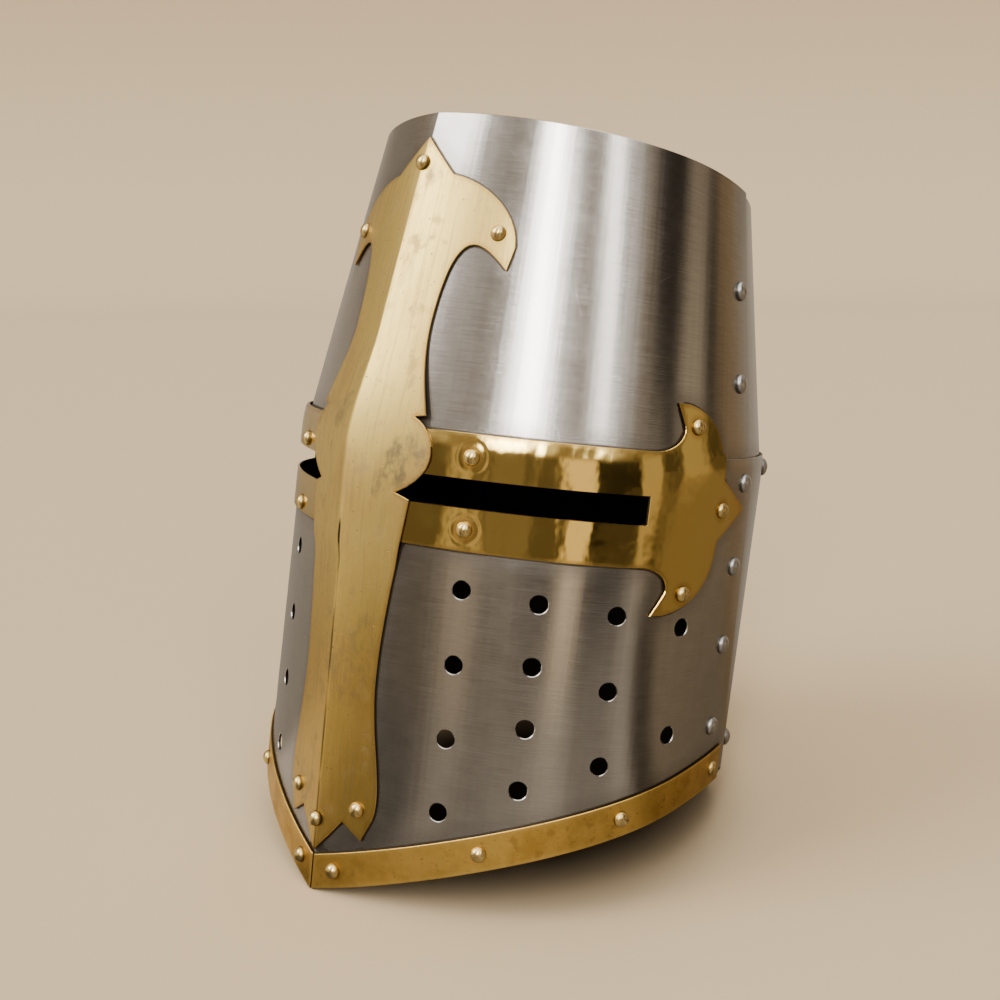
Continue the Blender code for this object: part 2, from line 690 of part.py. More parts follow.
def arms():
    """Both arms, each with its sight cut through and its upper hook lying on the brow plate."""
    edges = (SEAM_Z + 2 * GAP, SEAM_Z + 2 * GAP + STEP_RUN)
    depths = (BRASS_ON_FACE, BRASS_ON_BROW)

    def inner(z):
        return float(np.interp(z, edges, depths))

    left = ridge_points(arm_outline())
    sight = ring(SIGHT_START, SIGHT_END, SIGHT_Z - SIGHT_HALF, SIGHT_Z + SIGHT_HALF)
    for side, outline, slot in (("left", left, sight), ("right", flip(left), flip(sight))):
        holes = [*rivet_holes(outline, BRASS_ON_BROW, ON_FACE), slot]
        bent_sheet(f"cross_arm_{side}", polished_brass, outline, BRASS, inner, holes, edges)


def rim_bands():
    """Two bands along the front of the rim, which meet at the ridge."""
    low = rim_run(0.5 * GAP, BAND_END)
    left = low + [(s, z + BAND_HEIGHT) for s, z in reversed(low)]
    for side, outline in (("left", left), ("right", flip(left))):
        holes = rivet_holes(outline, BRASS_ON_FACE, ON_FACE)
        bent_sheet(f"rim_band_{side}", aged_brass, outline, BRASS, level(BRASS_ON_FACE), holes)


def rivet_object(rivet):
    """A domed head, a shank through every sheet, and a tail hammered flat inside."""
    s = form.from_ridge(rivet.u, rivet.z)
    axis = form.outward(s, rivet.z)
    seat = form.place(s, rivet.z, rivet.outer)
    depth = (seat - form.place(s, rivet.z, rivet.inner)).length
    under = -depth - (RIDGE_SEAT if rivet.u == 0.0 else SEAT)
    if rivet.metal == "brass":
        radius, height, material = HEAD_RADIUS, HEAD_HEIGHT, brass_rivet
    else:
        radius, height, material = STEEL_HEAD_RADIUS, STEEL_HEAD_HEIGHT, steel_rivet
    profile = (
        (0.0, SEAT + height),
        (DOME_SHOULDER * radius, SEAT + DOME_SHOULDER * height),
        (radius, SEAT),
        (SHANK_RADIUS, SEAT),
        (SHANK_RADIUS, under),
        (TAIL_RADIUS, under),
        (0.0, under - TAIL_HEIGHT),
    )
    mesh = bmesh.new()
    corners = [mesh.verts.new((r, 0.0, h)) for r, h in profile]
    lines = [mesh.edges.new(corners[i : i + 2]) for i in range(len(corners) - 1)]
    bmesh.ops.spin(
        mesh,
        geom=corners + lines,
        cent=(0.0, 0.0, 0.0),
        axis=(0.0, 0.0, 1.0),
        steps=RIVET_SIDES,
        angle=2 * math.pi,
    )
    bmesh.ops.remove_doubles(mesh, verts=mesh.verts[:], dist=WELD)
    face_out(mesh)
    piece = add_object(rivet.name, mesh, material)
    piece.rotation_euler = axis.to_track_quat("Z", "Y").to_euler()
    piece.location = seat


crown_plate()
brow_plate()
face_plate()
upper_back_plate()
lower_back_plate()
upright()
arms()
rim_bands()
for each in RIVETS:
    rivet_object(each)

# The helm leans back on the tip of its chin and the back of its rim, with its lowest point on the
# ground and the middle of its length over the origin
lean = bpy.data.objects.new("helm_lean", None)
bpy.context.scene.collection.objects.link(lean)
lean.rotation_euler = (-LEAN, 0.0, 0.0)
pieces = [item for item in bpy.context.scene.objects if item.type == "MESH"]
for piece in pieces:
    piece.parent = lean
bpy.context.view_layer.update()
corners = [piece.matrix_world @ vert.co for piece in pieces for vert in piece.data.vertices]
front_end = min(corner.y for corner in corners)
back_end = max(corner.y for corner in corners)
lean.location = (0.0, -0.5 * (front_end + back_end), -min(corner.z for corner in corners))
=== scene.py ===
# Great helm of riveted steel sheet with a brass cross: the finished surfaces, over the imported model.
import json
import math
from collections import namedtuple

import bmesh
import bpy
import numpy as np
from mathutils import Matrix, Vector
from mathutils.geometry import interpolate_bezier


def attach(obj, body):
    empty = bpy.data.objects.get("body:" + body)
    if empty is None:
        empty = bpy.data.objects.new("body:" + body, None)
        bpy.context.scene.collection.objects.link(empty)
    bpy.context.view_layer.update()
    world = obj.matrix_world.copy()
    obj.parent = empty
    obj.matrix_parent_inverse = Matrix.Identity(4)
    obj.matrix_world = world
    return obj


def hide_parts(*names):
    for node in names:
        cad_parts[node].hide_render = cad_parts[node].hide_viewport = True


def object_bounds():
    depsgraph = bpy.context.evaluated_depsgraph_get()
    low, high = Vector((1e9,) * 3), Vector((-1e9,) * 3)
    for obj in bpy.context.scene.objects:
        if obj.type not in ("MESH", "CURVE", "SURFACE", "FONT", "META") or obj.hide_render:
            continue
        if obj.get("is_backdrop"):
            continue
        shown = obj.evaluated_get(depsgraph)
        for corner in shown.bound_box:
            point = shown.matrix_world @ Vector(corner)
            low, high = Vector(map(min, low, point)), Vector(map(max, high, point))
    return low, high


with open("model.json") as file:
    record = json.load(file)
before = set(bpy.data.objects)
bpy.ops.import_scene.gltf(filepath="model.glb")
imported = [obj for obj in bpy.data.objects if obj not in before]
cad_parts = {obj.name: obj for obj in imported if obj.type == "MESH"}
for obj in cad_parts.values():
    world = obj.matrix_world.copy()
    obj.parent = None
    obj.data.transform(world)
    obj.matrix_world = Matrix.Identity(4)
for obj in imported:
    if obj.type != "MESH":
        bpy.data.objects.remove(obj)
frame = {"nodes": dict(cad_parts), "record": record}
cad_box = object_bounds()

# Brow plate: the upper front, one sheet of steel folded along the ridge and bent round the sides.
# Its edges are filed, its lower edge goes down behind the face plate, and rivets hold the laps.
# All the helm's sheets are cut flat, drilled, and bent over one form, worked out here.
HALF_WIDTH = 0.108
DEPTH = 0.217
CROWN_RISE = 0.1227
CROWN_TILT = -0.177
CHIN_DROP = 0.1912
RIDGE_FOLD = 0.0003
BROW_FOLD = 0.003
Section = namedtuple("Section", "width front widest back keel nose cheek nape_side nape_back")
CROWN = Section(0.803, 0.267, 0.103, 0.503, 0.10, 0.504, 0.526, 0.570, 0.559)
BROW = Section(1.000, 0.413, 0.035, 0.587, 0.29, 0.512, 0.527, 0.556, 0.550)
RIM = Section(0.985, 0.425, 0.006, 0.576, 0.22, 0.528, 0.598, 0.533, 0.540)

# The helm leans back as it stands: its crown's place and axis in the frame say how far
CROWN_SPOT = Vector((0.0, 0.0187196, 0.1179271))
CROWN_INSET = 0.0015
crown_mount = frame["record"]["mounts"][0]
crown_axis = Vector(crown_mount["axis"])
LEAN = math.atan2(crown_axis.y, crown_axis.z) - math.atan(-CROWN_TILT * (1 - CROWN_INSET / CROWN_RISE))
stand = Matrix.Rotation(-LEAN, 4, "X")
stand.translation = Vector(crown_mount["pos_m"]) - stand @ CROWN_SPOT
turn = np.array(stand.to_3x3())
shift = np.array(stand.translation)


def plan(section, t):
    """Plan points of a section; t runs 0 at the ridge, 1 at the widest place, 2 at the back."""
    width = section.width * HALF_WIDTH
    front, widest, back = -section.front * DEPTH, section.widest * DEPTH, section.back * DEPTH
    keel = math.cos(section.keel), math.sin(section.keel)
    ahead = np.array([
        (0.0, front),
        (keel[0] * section.nose * width, front + keel[1] * section.nose * width),
        (width, widest - section.cheek * (widest - front)),
        (width, widest),
    ])
    behind = np.array([
        (width, widest),
        (width, widest + section.nape_side * (back - widest)),
        (section.nape_back * width, back),
        (0.0, back),
    ])
    share = np.where(t <= 1.0, t, t - 1.0)[:, None]
    corners = np.where((t <= 1.0)[:, None, None], ahead, behind)
    rest = 1.0 - share
    weights = rest**3, 3 * rest**2 * share, 3 * rest * share**2, share**3
    points = sum(weight * corners[:, i] for i, weight in enumerate(weights))
    across = points[:, 0]
    points[:, 1] += math.tan(section.keel) * (np.hypot(across, RIDGE_FOLD) - np.abs(across))
    return points


def form_points(t, z):
    """The bent form's points at every t and height, in the worn frame."""
    fold = np.hypot(z, BROW_FOLD)
    rise = ((z + fold) / 2 / CROWN_RISE)[None, :, None]
    fall = ((fold - z) / 2 / CHIN_DROP)[None, :, None]
    brow = plan(BROW, t)[:, None]
    flat = brow + (plan(CROWN, t)[:, None] - brow) * rise + (plan(RIM, t)[:, None] - brow) * fall
    height = z[None, :, None] + CROWN_TILT * flat[..., 1:] * rise
    return np.concatenate([flat, height], axis=2)


class Form:
    """The form as a fine grid: s runs round the brow from the ridge, z is the height."""

    def __init__(self):
        # The grid is finest where the ridge and the brow fold
        fold = np.array([0.0, 0.0018, 0.004, 0.007, 0.011, 0.017])
        t = np.concatenate([fold, np.linspace(0.026, 1.0, 76), np.linspace(1.0, 2.0, 62)[1:]])
        low = np.linspace(-CHIN_DROP - 0.001, -0.006, 44)
        high = np.linspace(0.006, CROWN_RISE, 30)
        self.z = np.concatenate([low, [-0.003, -0.001, 0.001, 0.003], high])
        side = form_points(t, self.z)
        near, far = np.clip(t - 1e-4, 0.0, 2.0), np.clip(t + 1e-4, 0.0, 2.0)
        along = form_points(far, self.z) - form_points(near, self.z)
        along[[0, -1], :, 1:] = 0.0
        up = form_points(t, self.z + 1e-4) - form_points(t, self.z - 1e-4)
        along /= np.linalg.norm(along, axis=2, keepdims=True)
        normals = np.cross(along, up)
        normals /= np.linalg.norm(normals, axis=2, keepdims=True)
        brow = form_points(t, np.array([0.0]))[:, 0]
        run = np.concatenate([[0.0], np.cumsum(np.linalg.norm(np.diff(brow, axis=0), axis=1))])
        self.half_round = run[-1]
        mirror, slide = np.array([-1.0, 1.0, 1.0]), np.array([1.0, -1.0, -1.0])
        ahead = slice(None, 0, -1)
        behind = slice(-2, None, -1)
        self.s = np.concatenate([-run[ahead], run, 2 * run[-1] - run[behind]])
        self.points = np.concatenate([(side * mirror)[ahead], side, (side * mirror)[behind]])
        self.normals = np.concatenate([(normals * mirror)[ahead], normals, (normals * mirror)[behind]])
        self.along = np.concatenate([(along * slide)[ahead], along, (along * slide)[behind]])

    def sample(self, grid, s, z):
        s, z = np.atleast_1d(s), np.atleast_1d(z)
        i = np.clip(np.searchsorted(self.s, s) - 1, 0, len(self.s) - 2)
        j = np.clip(np.searchsorted(self.z, z) - 1, 0, len(self.z) - 2)
        a = ((s - self.s[i]) / (self.s[i + 1] - self.s[i]))[:, None]
        b = ((z - self.z[j]) / (self.z[j + 1] - self.z[j]))[:, None]
        low = grid[i, j] * (1 - a) + grid[i + 1, j] * a
        high = grid[i, j + 1] * (1 - a) + grid[i + 1, j + 1] * a
        return low * (1 - b) + high * b

    def from_ridge(self, distance, z):
        """The s of a point that lies a true distance from the ridge at height z."""
        ahead = self.s[self.s >= 0.0]
        run = self.sample(self.points, ahead, np.full(len(ahead), z))
        reach = np.concatenate([[0.0], np.cumsum(np.linalg.norm(np.diff(run, axis=0), axis=1))])
        return math.copysign(float(np.interp(abs(distance), reach, ahead)), distance)


form = Form()

STEEL = 0.0012
BRASS = 0.0009
GAP = 0.0003
SEAM_Z = 0.0035
SIDE_SEAM = 0.1875
SIGHT_Z = -0.0173
SIGHT_HALF = 0.0056
LAP_Z = SIGHT_Z + SIGHT_HALF + 0.0012
FILED = 0.00028
MIDDLE = -STEEL
HOLE_SIDES = 28
SHANK_HOLE = 0.0019
FAR_OFF = 0.03
FACES_OUT = 0.35


def level_face(mesh, corners):
    """A new face that looks up."""
    face = mesh.faces.new(corners)
    face.normal_update()
    if face.normal.z < 0.0:
        face.normal_flip()
    return face


def push(mesh, made, way):
    """Moves the vertices among newly made geometry."""
    corners = [item for item in made if isinstance(item, bmesh.types.BMVert)]
    bmesh.ops.translate(mesh, vec=way, verts=corners)


def slab(outline, low, high):
    """A closed flat plate of an outline in s and z, and its upper face."""
    mesh = bmesh.new()
    face = level_face(mesh, [mesh.verts.new((s, z, low)) for s, z in outline])
    raised = bmesh.ops.extrude_face_region(mesh, geom=[face], use_keep_orig=True)["geom"]
    push(mesh, raised, (0.0, 0.0, high - low))
    bmesh.ops.recalc_face_normals(mesh, faces=mesh.faces[:])
    top = next(item for item in raised if isinstance(item, bmesh.types.BMFace))
    return mesh, top


def as_object(mesh, name):
    data = bpy.data.meshes.new(name)
    mesh.to_mesh(data)
    mesh.free()
    made = bpy.data.objects.new(name, data)
    bpy.context.scene.collection.objects.link(made)
    return made


def drilled(mesh, holes, thickness):
    """The plate with its holes cut out, each with its outer edge eased."""
    tool = bmesh.new()
    for ring in holes:
        plug, top = slab(ring, -thickness, thickness - FILED)
        bmesh.ops.inset_individual(plug, faces=[top], thickness=-1.5 * FILED, depth=1.5 * FILED)
        joined = bpy.data.meshes.new("plug")
        plug.to_mesh(joined)
        plug.free()
        tool.from_mesh(joined)
        bpy.data.meshes.remove(joined)
    blank = as_object(mesh, "blank")
    cutter = as_object(tool, "cutter")
    cut = blank.modifiers.new("holes", "BOOLEAN")
    cut.solver = "EXACT"
    cut.object = cutter
    shaped = blank.evaluated_get(bpy.context.evaluated_depsgraph_get()).to_mesh()
    result = bmesh.new()
    result.from_mesh(shaped)
    for used in (blank, cutter):
        data = used.data
        bpy.data.objects.remove(used)
        bpy.data.meshes.remove(data)
    return result


def distance_to(lines, s, z):
    """How far each point lies from outlines laid over the sheet; less than 0 under them."""
    nearest = np.full(len(s), FAR_OFF)
    under = np.zeros(len(s), dtype=bool)
    for line in lines:
        ends = np.array(line + line[:1])
        within = np.zeros(len(s), dtype=bool)
        for (s0, z0), (s1, z1) in zip(ends[:-1], ends[1:]):
            ds, dz = s1 - s0, z1 - z0
            span = max(ds * ds + dz * dz, 1e-12)
            share = np.clip(((s - s0) * ds + (z - z0) * dz) / span, 0.0, 1.0)
            nearest = np.minimum(nearest, np.hypot(s - s0 - share * ds, z - z0 - share * dz))
            if z0 != z1:
                within ^= ((z0 > z) != (z1 > z)) & (s < ds * (z - z0) / dz + s0)
        under |= within
    return np.where(under, -nearest, nearest)


def bent_sheet(name, node, material, outline, thickness, inner, holes=(), steps=(), lines=(),
               eased=0.0):
    """A sheet cut flat, eased at its edges, drilled, and bent over the form at its depth.

    A sheet that bridges the brow is eased: it turns over that much height above and below it."""
    mesh, top = slab(outline, 0.0, thickness - FILED)
    bmesh.ops.inset_individual(mesh, faces=[top], thickness=FILED, depth=FILED, use_even_offset=True)
    across = [s for s, z in outline]
    heights = [z for s, z in outline]
    for axis, places, ends in (
        ((1.0, 0.0, 0.0), form.s, across),
        ((0.0, 1.0, 0.0), sorted({*form.z, *steps}), heights),
    ):
        for place in places:
            if min(ends) + 2e-5 < place < max(ends) - 2e-5:
                geometry = mesh.verts[:] + mesh.edges[:] + mesh.faces[:]
                plane = Vector(axis) * float(place)
                bmesh.ops.bisect_plane(mesh, geom=geometry, dist=1e-7, plane_co=plane, plane_no=axis)
    if holes:
        mesh = drilled(mesh, holes, thickness)
    bmesh.ops.remove_doubles(mesh, verts=mesh.verts[:], dist=1e-6)
    bmesh.ops.triangulate(mesh, faces=[face for face in mesh.faces if len(face.verts) > 4])
    mesh.normal_update()
    flat = np.array([vert.co for vert in mesh.verts])
    facing = np.array([face.normal for face in mesh.faces for vert in face.verts])
    corner = np.array([vert.index for face in mesh.faces for vert in face.verts])
    s, z, depth = flat.T
    normals = form.sample(form.normals, s, z)
    along = form.sample(form.along, s, z)
    upward = np.cross(normals, along)
    bent = form.sample(form.points, s, z) + normals * (inner(z) + depth)[:, None]
    standing = bent @ turn.T + shift
    if eased:
        heights = [np.clip(z + rise, -CHIN_DROP, CROWN_RISE) for rise in np.linspace(-eased, eased, 9)]
        normals = sum(form.sample(form.normals, s, height) for height in heights)
        normals /= np.linalg.norm(normals, axis=1, keepdims=True)
        upward = np.cross(normals, along)
    for vert, place in zip(mesh.verts, standing):
        vert.co = place
    sheet = as_object(mesh, name)
    grid = sheet.data.uv_layers.new(name="sheet")
    grid.data.foreach_set("uv", flat[corner][:, :2].ravel())
    reach = sheet.data.attributes.new("reach", "FLOAT", "POINT")
    reach.data.foreach_set("value", distance_to(lines, s, z))
    # The cut edges and the inner side are marked here for painted shade in the finishes.
    inside = sheet.data.attributes.new("inside", "FLOAT", "CORNER")
    inside.data.foreach_set("value", (facing[:, 2] < FACES_OUT).astype(float))
    shade = along[corner] * facing[:, :1] + upward[corner] * facing[:, 1:2]
    shade = shade + normals[corner] * facing[:, 2:]
    sheet.data.shade_smooth()
    sheet.data.normals_split_custom_set((shade @ turn.T).tolist())
    sheet.data.materials.append(material)
    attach(sheet, "root")
    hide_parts(node)
    return sheet


def round_hole(s, z, radius):
    """A hole's ring of points, round once the sheet is bent."""
    place = [form.sample(form.points, s + ds, z + dz)[0] for ds, dz in
             ((radius, 0.0), (-radius, 0.0), (0.0, radius), (0.0, -radius))]
    along, up = (place[0] - place[1]) / (2 * radius), (place[2] - place[3]) / (2 * radius)
    stretch = np.linalg.norm(along)
    skew = up @ along / stretch
    rise = math.sqrt(up @ up - skew**2)
    ring = []
    for i in range(HOLE_SIDES):
        angle = 2 * math.pi * (i + 0.5) / HOLE_SIDES
        dz = radius * math.sin(angle) / rise
        ring.append((s + (radius * math.cos(angle) - skew * dz) / stretch, z + dz))
    return ring


def level(height):
    return lambda z: np.full(len(z), height)


def worn_place(node):
    """Where a rivet's node goes through the sheets: its s and z, its axis and the tip of its head."""
    points = np.array([vert.co for vert in frame["nodes"][node].data.vertices])
    worn = (points - shift) @ turn
    middle = worn.mean(axis=0)
    z = middle[2]
    for _ in range(6):
        line = form.sample(form.points, form.s, np.full(len(form.s), z))
        distance = np.linalg.norm(line - middle, axis=1)
        i = int(distance.argmin())
        near = slice(max(i - 1, 0), i + 2)
        fine = np.linspace(form.s[near][0], form.s[near][-1], 41)
        line = form.sample(form.points, fine, np.full(len(fine), z))
        s = fine[np.linalg.norm(line - middle, axis=1).argmin()]
        here = form.sample(form.points, s, z)[0]
        normal = form.sample(form.normals, s, z)[0]
        z += (middle - normal * (normal @ (middle - here)) - here)[2]
    return s, z, normal, here, (worn - here) @ normal


RIVETS = {node: worn_place(node) for node in frame["nodes"] if "_rivet_" in node}


def rivet_holes(*names, side=""):
    """Holes for the rivets whose names start so, on one side or on both."""
    chosen = [node for node in RIVETS if node.startswith(names) and node.endswith(side)]
    return [round_hole(RIVETS[node][0], RIVETS[node][1], SHANK_HOLE) for node in chosen]


class Socket:
    """An output in a shader graph; sums written with it add Math nodes."""

    def __init__(self, graph, output):
        self.graph = graph
        self.output = output

    def math(self, operation, *values):
        return self.graph.node("ShaderNodeMath", {"operation": operation}, dict(enumerate(values)))

    def __add__(self, other):
        return self.math("ADD", self, other)

    __radd__ = __add__

    def __sub__(self, other):
        return self.math("SUBTRACT", self, other)

    def __rsub__(self, other):
        return self.math("SUBTRACT", other, self)

    def __mul__(self, other):
        return self.math("MULTIPLY", self, other)

    __rmul__ = __mul__

    def __truediv__(self, other):
        return self.math("DIVIDE", self, other)

    def size(self):
        return self.math("ABSOLUTE", self)

    def between(self, low, high):
        """0 below low and 1 above high, eased; or the other way round if low is the greater."""
        inputs = {"Value": self, "From Min": low, "From Max": high}
        return self.graph.node("ShaderNodeMapRange", {"interpolation_type": "SMOOTHSTEP"}, inputs)


class Graph:
    """The shader graph of one finish, or of the studio."""

    def __init__(self, owner):
        owner.use_nodes = True
        self.tree = owner.node_tree
        self.shader = self.tree.nodes.get("Principled BSDF")

    def node(self, kind, settings=None, inputs=None, output=0):
        made = self.tree.nodes.new(kind)
        for key, value in (settings or {}).items():
            if key == "stops":
                for place, colour in value[1:-1]:
                    made.color_ramp.elements.new(place)
                for stop, (place, colour) in zip(made.color_ramp.elements, value):
                    stop.color = colour
            else:
                setattr(made, key, value)
        for key, value in (inputs or {}).items():
            self.feed(made.inputs[key], value)
        return Socket(self, made.outputs[output])

    def feed(self, socket, value):
        if isinstance(value, Socket):
            self.tree.links.new(value.output, socket)
        else:
            socket.default_value = value

    def mark(self, name):
        """A value that was written on the mesh under this name."""
        return self.node("ShaderNodeAttribute", {"attribute_name": name}, output=2)

    def axis(self, vector, place):
        return self.node("ShaderNodeSeparateXYZ", {}, {"Vector": vector}, output=place)

    def away_from(self, vector, s, z):
        """How far round and up the sheet a point lies from a spot."""
        inputs = {0: vector, 1: (s, z, 0.0)}
        return self.node("ShaderNodeVectorMath", {"operation": "DISTANCE"}, inputs, output=1)

    def along_sheet(self, across, up, offset=0.0):
        """Coordinates that lie on a bent sheet: s and z in metres, each scaled."""
        uv = self.node("ShaderNodeUVMap", {"uv_map": "sheet"})
        inputs = {"Vector": uv, "Scale": (across, up, 1.0), "Location": (offset, offset, offset)}
        return self.node("ShaderNodeMapping", {}, inputs)

    def in_metal(self, scale, offset=0.0):
        spot = self.node("ShaderNodeTexCoord", output=3)
        inputs = {"Vector": spot, "Scale": (scale, scale, scale), "Location": (offset, offset, offset)}
        return self.node("ShaderNodeMapping", {}, inputs)

    def noise(self, vector, detail=2.0, roughness=0.5):
        inputs = {"Vector": vector, "Scale": 1.0, "Detail": detail, "Roughness": roughness}
        return self.node("ShaderNodeTexNoise", {}, inputs)

    def tint(self, share, low, high):
        """One colour turning into another."""
        inputs = {0: share, 6: low if isinstance(low, Socket) else (*low, 1.0),
                  7: high if isinstance(high, Socket) else (*high, 1.0)}
        return self.node("ShaderNodeMix", {"data_type": "RGBA", "clamp_factor": True}, inputs, output=2)

    def finish(self, colour, rough, relief):
        """The finish's colour, its roughness, and its relief in metres."""
        self.feed(self.shader.inputs["Base Color"], colour)
        self.feed(self.shader.inputs["Roughness"], rough)
        bump = self.node("ShaderNodeBump", {}, {"Height": relief, "Distance": 1.0, "Strength": 1.0})
        self.feed(self.shader.inputs["Normal"], bump)


def metal(name, **constants):
    material = bpy.data.materials.new(name)
    graph = Graph(material)
    graph.shader.inputs["Metallic"].default_value = 1.0
    for key, value in constants.items():
        graph.shader.inputs[key.replace("_", " ")].default_value = value
    return material, graph


def scratches(graph, angle, offset):
    """Fine lone hairlines, running at an angle across the sheet."""
    uv = graph.node("ShaderNodeUVMap", {"uv_map": "sheet"})
    inputs = {"Vector": uv, "Rotation": (0.0, 0.0, angle), "Location": (offset, offset, 0.0)}
    turned = graph.node("ShaderNodeMapping", {}, inputs)
    scaled = graph.node("ShaderNodeMapping", {}, {"Vector": turned, "Scale": (26.0, 900.0, 1.0)})
    line = graph.noise(scaled, detail=1.0)
    patch = graph.noise(graph.along_sheet(31.0, 47.0, offset), detail=1.0)
    return line.between(0.70, 0.78) * patch.between(0.54, 0.66)


def satin_steel():
    """Steel sheet, brushed round the helm, with soft cloudy wear, hairlines, and dark lines along the
    brass and the seams, partly sooty and partly painted shade.

    The brushing smears what it mirrors up and down. The inner side and the cut edges are painted nearly
    black as painted shade."""
    material, graph = metal("satin_steel", Anisotropic=0.35, Anisotropic_Rotation=0.25)
    cloud = graph.noise(graph.in_metal(14.0), detail=4.0)
    streak = graph.noise(graph.along_sheet(420.0, 9.0), detail=3.0)
    grain = graph.noise(graph.along_sheet(55.0, 1700.0, 3.0), detail=4.0, roughness=0.7)
    mottle = graph.noise(graph.in_metal(130.0, 6.0), detail=5.0, roughness=0.65)
    smear = graph.noise(graph.along_sheet(38.0, 17.0, 7.0), detail=3.0)
    hair = scratches(graph, 0.35, 1.0) + scratches(graph, -0.6, 4.0) + scratches(graph, 1.2, 9.0)
    reach = graph.mark("reach")
    # Painted shade: a dark line along the brass and the seams, partly soot and partly painted shade
    # under the laps.
    soot_and_shade = 0.8 * reach.between(0.0012, 0.0004) + 0.25 * reach.between(0.009, 0.0)
    dirt_and_shade = 1.3 * soot_and_shade * (0.3 + 1.1 * mottle)
    tone = 0.6 * cloud + 0.45 * streak + 1.5 * grain + 0.6 * mottle - 1.15
    colour = graph.tint(tone, (0.45, 0.42, 0.38), (0.62, 0.59, 0.55))
    colour = graph.tint(dirt_and_shade, colour, (0.12, 0.10, 0.08))
    # Painted shade: the cut edges and the inner side are painted nearly black.
    black = graph.mark("inside")
    colour = graph.tint(black, colour, (0.035, 0.03, 0.026))
    rough = 0.09 + 0.07 * grain + 0.04 * smear + 0.07 * mottle + 0.08 * hair + 0.2 * dirt_and_shade + 0.25 * black
    relief = 0.000022 * grain + 0.000008 * streak + 0.000012 * mottle
    wave = graph.noise(graph.along_sheet(26.0, 11.0, 2.0), detail=1.0)
    furrow = graph.noise(graph.along_sheet(150.0, 2.5, 5.0), detail=2.0)
    graph.finish(colour, rough, relief + 0.00022 * wave + 0.00005 * furrow)
    return material


def ridge_points(shape):
    """Points given as true distances from the ridge, turned into s and z."""
    return [(form.from_ridge(u, z), z) for u, z in shape]


def bow(start, first, second, end, steps=12):
    """A curve through two handles, without its last point."""
    corners = [Vector((*corner, 0.0)) for corner in (start, first, second, end)]
    return [(p.x, p.y) for p in interpolate_bezier(*corners, steps + 1)[:-1]]


def flip(outline):
    return [(-s, z) for s, z in reversed(outline)]


CROSS_WIDTH = 0.0495
CROSS_RISE = 0.1122
CROSS_FALL = 0.1737


def upright_outline():
    """Half of the cross's upright, from its tip down to its foot."""
    w, up, down = CROSS_WIDTH, CROSS_RISE, -CROSS_FALL
    corner, hook = (0.317 * w, 0.877 * up), (w, 0.62 * up)
    barb, throat = (0.970 * w, 0.573 * up), (0.65 * w, 0.647 * up)
    waist, notch = (0.452 * w, 0.38 * up), (0.626 * w, 0.083 * up)
    lobe, lobe_foot = (0.533 * w, 0.077 * up), (0.46 * w, 0.117 * down)
    shoulder, shin = (0.586 * w, 0.130 * down), (0.438 * w, 0.577 * down)
    ankle = (0.50 * w, 0.91 * down)
    half = [(0.0, up)]
    half += bow(corner, (0.66 * w, 0.86 * up), (1.02 * w, 0.76 * up), hook)
    half += bow(barb, (0.84 * w, 0.62 * up), (0.74 * w, 0.65 * up), throat)
    half += bow(throat, (0.49 * w, 0.64 * up), (0.455 * w, 0.50 * up), waist)
    half += bow(waist, (0.452 * w, 0.27 * up), (0.55 * w, 0.17 * up), notch)
    half += [notch]
    half += bow(lobe, (0.76 * w, 0.04 * up), (0.86 * w, 0.06 * down), lobe_foot)
    half += [lobe_foot]
    half += bow(shoulder, (0.54 * w, 0.25 * down), (0.43 * w, 0.42 * down), shin)
    half += bow(shin, (0.45 * w, 0.72 * down), (0.64 * w, 0.84 * down), ankle)
    return half + [(0.436 * w, 0.948 * down), (0.246 * w, 0.914 * down), (0.0, down)]


ARM_HALF = 0.0227
ARM_START = 0.0150
ARM_REACH = 0.1815
FLEUR_HALF = 0.0419


def arm_outline():
    """The arm on the wearer's left: a band that ends in a fleur with two hooks and a point."""
    reach = ARM_REACH
    root, throat = (0.673 * reach, ARM_HALF), (0.733 * reach, 0.82 * FLEUR_HALF)
    barb, hook = (0.707 * reach, FLEUR_HALF), (0.740 * reach, 0.995 * FLEUR_HALF)
    cheek = (0.882 * reach, 0.50 * FLEUR_HALF)
    half = bow(root, (0.725 * reach, ARM_HALF), (0.755 * reach, 0.70 * FLEUR_HALF), throat)
    half += [throat, barb]
    half += bow(hook, (0.80 * reach, 0.95 * FLEUR_HALF), (0.865 * reach, 0.78 * FLEUR_HALF), cheek)
    half += [cheek, (0.889 * reach, 0.30 * FLEUR_HALF)]
    upper = [(u, SIGHT_Z + z) for u, z in half]
    lower = [(u, SIGHT_Z - z) for u, z in reversed(half)]
    low, high = SIGHT_Z - ARM_HALF, SIGHT_Z + ARM_HALF
    return [(ARM_START, low), (ARM_START, high)] + upper + [(reach, SIGHT_Z)] + lower


half_upright = ridge_points(upright_outline())
UPRIGHT = half_upright + flip(half_upright[1:-1])
ARM = ridge_points(arm_outline())
BRASS_LINES = [UPRIGHT, ARM, flip(ARM)]

steel = satin_steel()
outline = [(-SIDE_SEAM, LAP_Z), (SIDE_SEAM, LAP_Z), (SIDE_SEAM, CROWN_RISE), (-SIDE_SEAM, CROWN_RISE)]
holes = rivet_holes("upright_rivet_tip", "upright_rivet_head", "arm_rivet_upper", "fleur_rivet_upper",
                    "side_rivet_upper", "side_rivet_lower_1")
seam = [(-SIDE_SEAM, SEAM_Z), (SIDE_SEAM, SEAM_Z)]
bent_sheet("brow_sheet", "brow_plate", steel, outline, STEEL, level(MIDDLE), holes,
           lines=[*BRASS_LINES, seam])

